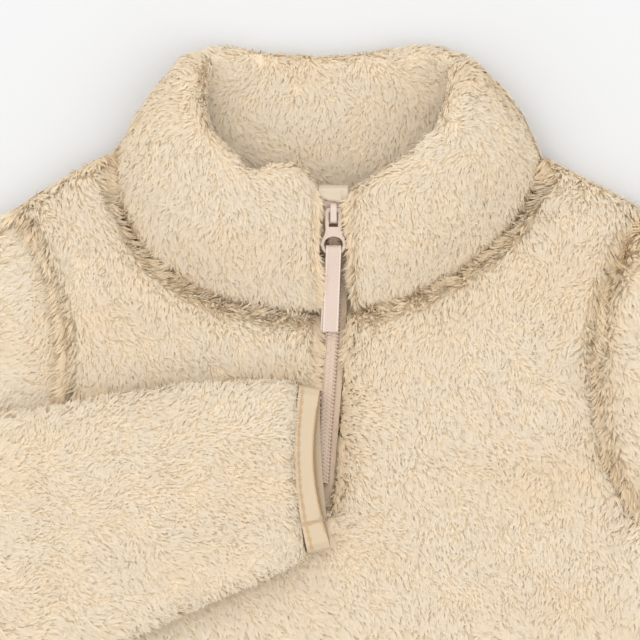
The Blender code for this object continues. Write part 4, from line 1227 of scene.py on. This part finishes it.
for _ in range(3):
    tab_way[1:-1] = 0.5 * tab_way[1:-1] + 0.25 * (tab_way[:-2] + tab_way[2:])
turn = np.gradient(tab_way[:, :2], axis=0)
tab_normal = np.stack([-turn[:, 1], turn[:, 0]], 1) / np.linalg.norm(turn, axis=1)[:, None]
TAB_ACROSS = np.array([-2.9, -2.75, -2.3, -2.2, -2.05, -1.0, 0.0, 1.0, 2.05, 2.2, 2.3, 2.75, 2.9])
TAB_HALF = np.array([0.10, 0.29, 0.29, 0.22, 0.25, 0.25, 0.25, 0.25, 0.25, 0.22, 0.29, 0.29, 0.10])
section = [(a, h) for a, h in zip(TAB_ACROSS, TAB_HALF)]
section += [(a, -h) for a, h in section[::-1]]
tab_points, tab_faces = [], []
for k, ((s, n, x), normal) in enumerate(zip(tab_way, tab_normal)):
    crown = 0.05 * math.sin(s * 0.35)
    for a, h in section:
        place = HINGE + np.array([x + a, 0, 0]) * MM
        tab_points.append(place + DOWN * (s + normal[0] * (h + crown)) * MM + OUT * (n + normal[1] * (h + crown)) * MM)
size = len(section)
last = (len(tab_way) - 1) * size
for k in range(0, last, size):
    for i in range(size):
        a, b = k + i, k + (i + 1) % size
        tab_faces.append((a, b, b + size, a + size))
tab_faces.append(tuple(reversed(range(size))))
tab_faces.append(tuple(last + i for i in range(size)))
TAB = small_piece("ribbon_tab", tab_points, tab_faces, RIBBON, "pull_tab", "pull", sharp=40)
TAB.data.materials.append(SELVEDGE)
SELVEDGE_SIDES = (0, 1, 10, 11, 12, 13, 14, 23, 24, 25)
for polygon in TAB.data.polygons:
    if polygon.index < last and polygon.index % size in SELVEDGE_SIDES:
        polygon.material_index = 1
print("the ribbon's way is", round(legs[-1], 1), "mm long")

# %% [markdown]
# The cover over the zip's top end is a small piece of smooth cotton, folded along its lower edge. The fold is
# soft and a little thicker, and one crease runs down beside it.

# %% The zip's cover
COVER_EDGE = [
    # the cover's outline on the pattern, from inside the neck round the fold to its narrow foot
    (-4.1, -11.6), (-4.35, -13.2), (-4.4, -14.8), (-3.4, -16.6), (-0.6, -17.6), (3.0, -18.0), (4.6, -18.5),
    (5.05, -20.2), (5.2, -24.2), (5.7, -24.6), (6.2, -24.0), (6.6, -20.0), (6.9, -15.5), (6.8, -12.9), (6.6, -11.6),
]


def cover_height(x, y):
    """The cloth's middle in millimetres: it lies over the zip's end, and its top edge rolls down into the neck."""
    turned = np.logaddexp(0, (y + 12.9) * 4) / 4
    edge = np.interp(x, [-4.4, -3.4, -0.6, 3.0, 4.6], [-14.8, -16.6, -17.6, -18.0, -18.5])
    fold = 0.3 * np.exp(-(((y - edge - 0.8) / 0.8) ** 2)) * np.clip(5.2 - x, 0, 1)
    off = (x - 4.2) - (-13.7 - y) * 0.25
    crease = 0.45 * np.exp(-((off / 0.5) ** 2)) * np.exp(-(((y + 16.6) / 3.0) ** 4))
    swell = 0.22 * np.sin((x + 3.4) * 0.75) * np.exp(-(((y + 15) / 3) ** 2))
    return 25.0 + 0.25 * (y + 18) - 3 * turned + fold + swell - crease


def cover_cloth():
    """The cover's points and faces: its outline filled, cut finer, and given an upper and a lower side."""
    work = bmesh.new()
    loop = [work.verts.new((x, y, 0)) for x, y in COVER_EDGE]
    edges = [work.edges.new((a, b)) for a, b in zip(loop, loop[1:] + loop[:1])]
    bmesh.ops.triangle_fill(work, edges=edges, use_beauty=True)
    for _ in range(6):
        long_edges = [edge for edge in work.edges if edge.calc_length() > 0.45]
        bmesh.ops.subdivide_edges(work, edges=long_edges, cuts=1)
        bmesh.ops.triangulate(work, faces=[face for face in work.faces if len(face.verts) > 3])
    work.verts.index_update()
    flat = np.array([vert.co[:2] for vert in work.verts])
    middle = cover_height(flat[:, 0], flat[:, 1])
    faces = [[vert.index for vert in face.verts] for face in work.faces]
    rim = [tuple(vert.index for vert in edge.verts) for edge in work.edges if edge.is_boundary]
    rim_verts = np.zeros(len(flat), bool)
    rim_verts[np.unique(rim)] = True
    work.free()
    half = np.where(rim_verts, 0.3, 0.55)
    points = [laid(x, y, z + h) for (x, y), z, h in zip(flat, middle, half)]
    points += [laid(x, y, z - h) for (x, y), z, h in zip(flat, middle, half)]
    count = len(flat)
    top = []
    for a, b, c in faces:
        up = np.cross(flat[b] - flat[a], flat[c] - flat[a]) > 0
        top.append((a, b, c) if up else (a, c, b))
    around = {edge for face in top for edge in zip(face, face[1:] + face[:1])}
    sides = [(b, a, count + a, count + b) if (a, b) in around else (a, b, count + b, count + a) for a, b in rim]
    return points, top + [(count + c, count + b, count + a) for a, b, c in top] + sides


cover_points, cover_faces = cover_cloth()
GARAGE = small_piece("cotton_cover", cover_points, cover_faces, COVER, "zip_garage", sharp=75)
print("the cover has", len(cover_faces), "faces")

# %% [markdown]
# Six pieces are sheets of cloth: the five backings and the cotton cover. The bindings, the tapes and the ribbon
# are too narrow to be sheets.

# %% Sheets of cloth
print("sheets:", [piece.name for piece in BACKINGS.values()], GARAGE.name)

# %% [markdown]
# At the end the triangles that the script added are counted.

# %% The end
added = [o for o in bpy.data.objects if o.type == "MESH" and o.name not in frame["nodes"] and o != floor]
counts = [sum(len(polygon.vertices) - 2 for polygon in piece.data.polygons) for piece in added]
print("triangles added:", sum(counts), "and the largest piece:", max(counts))
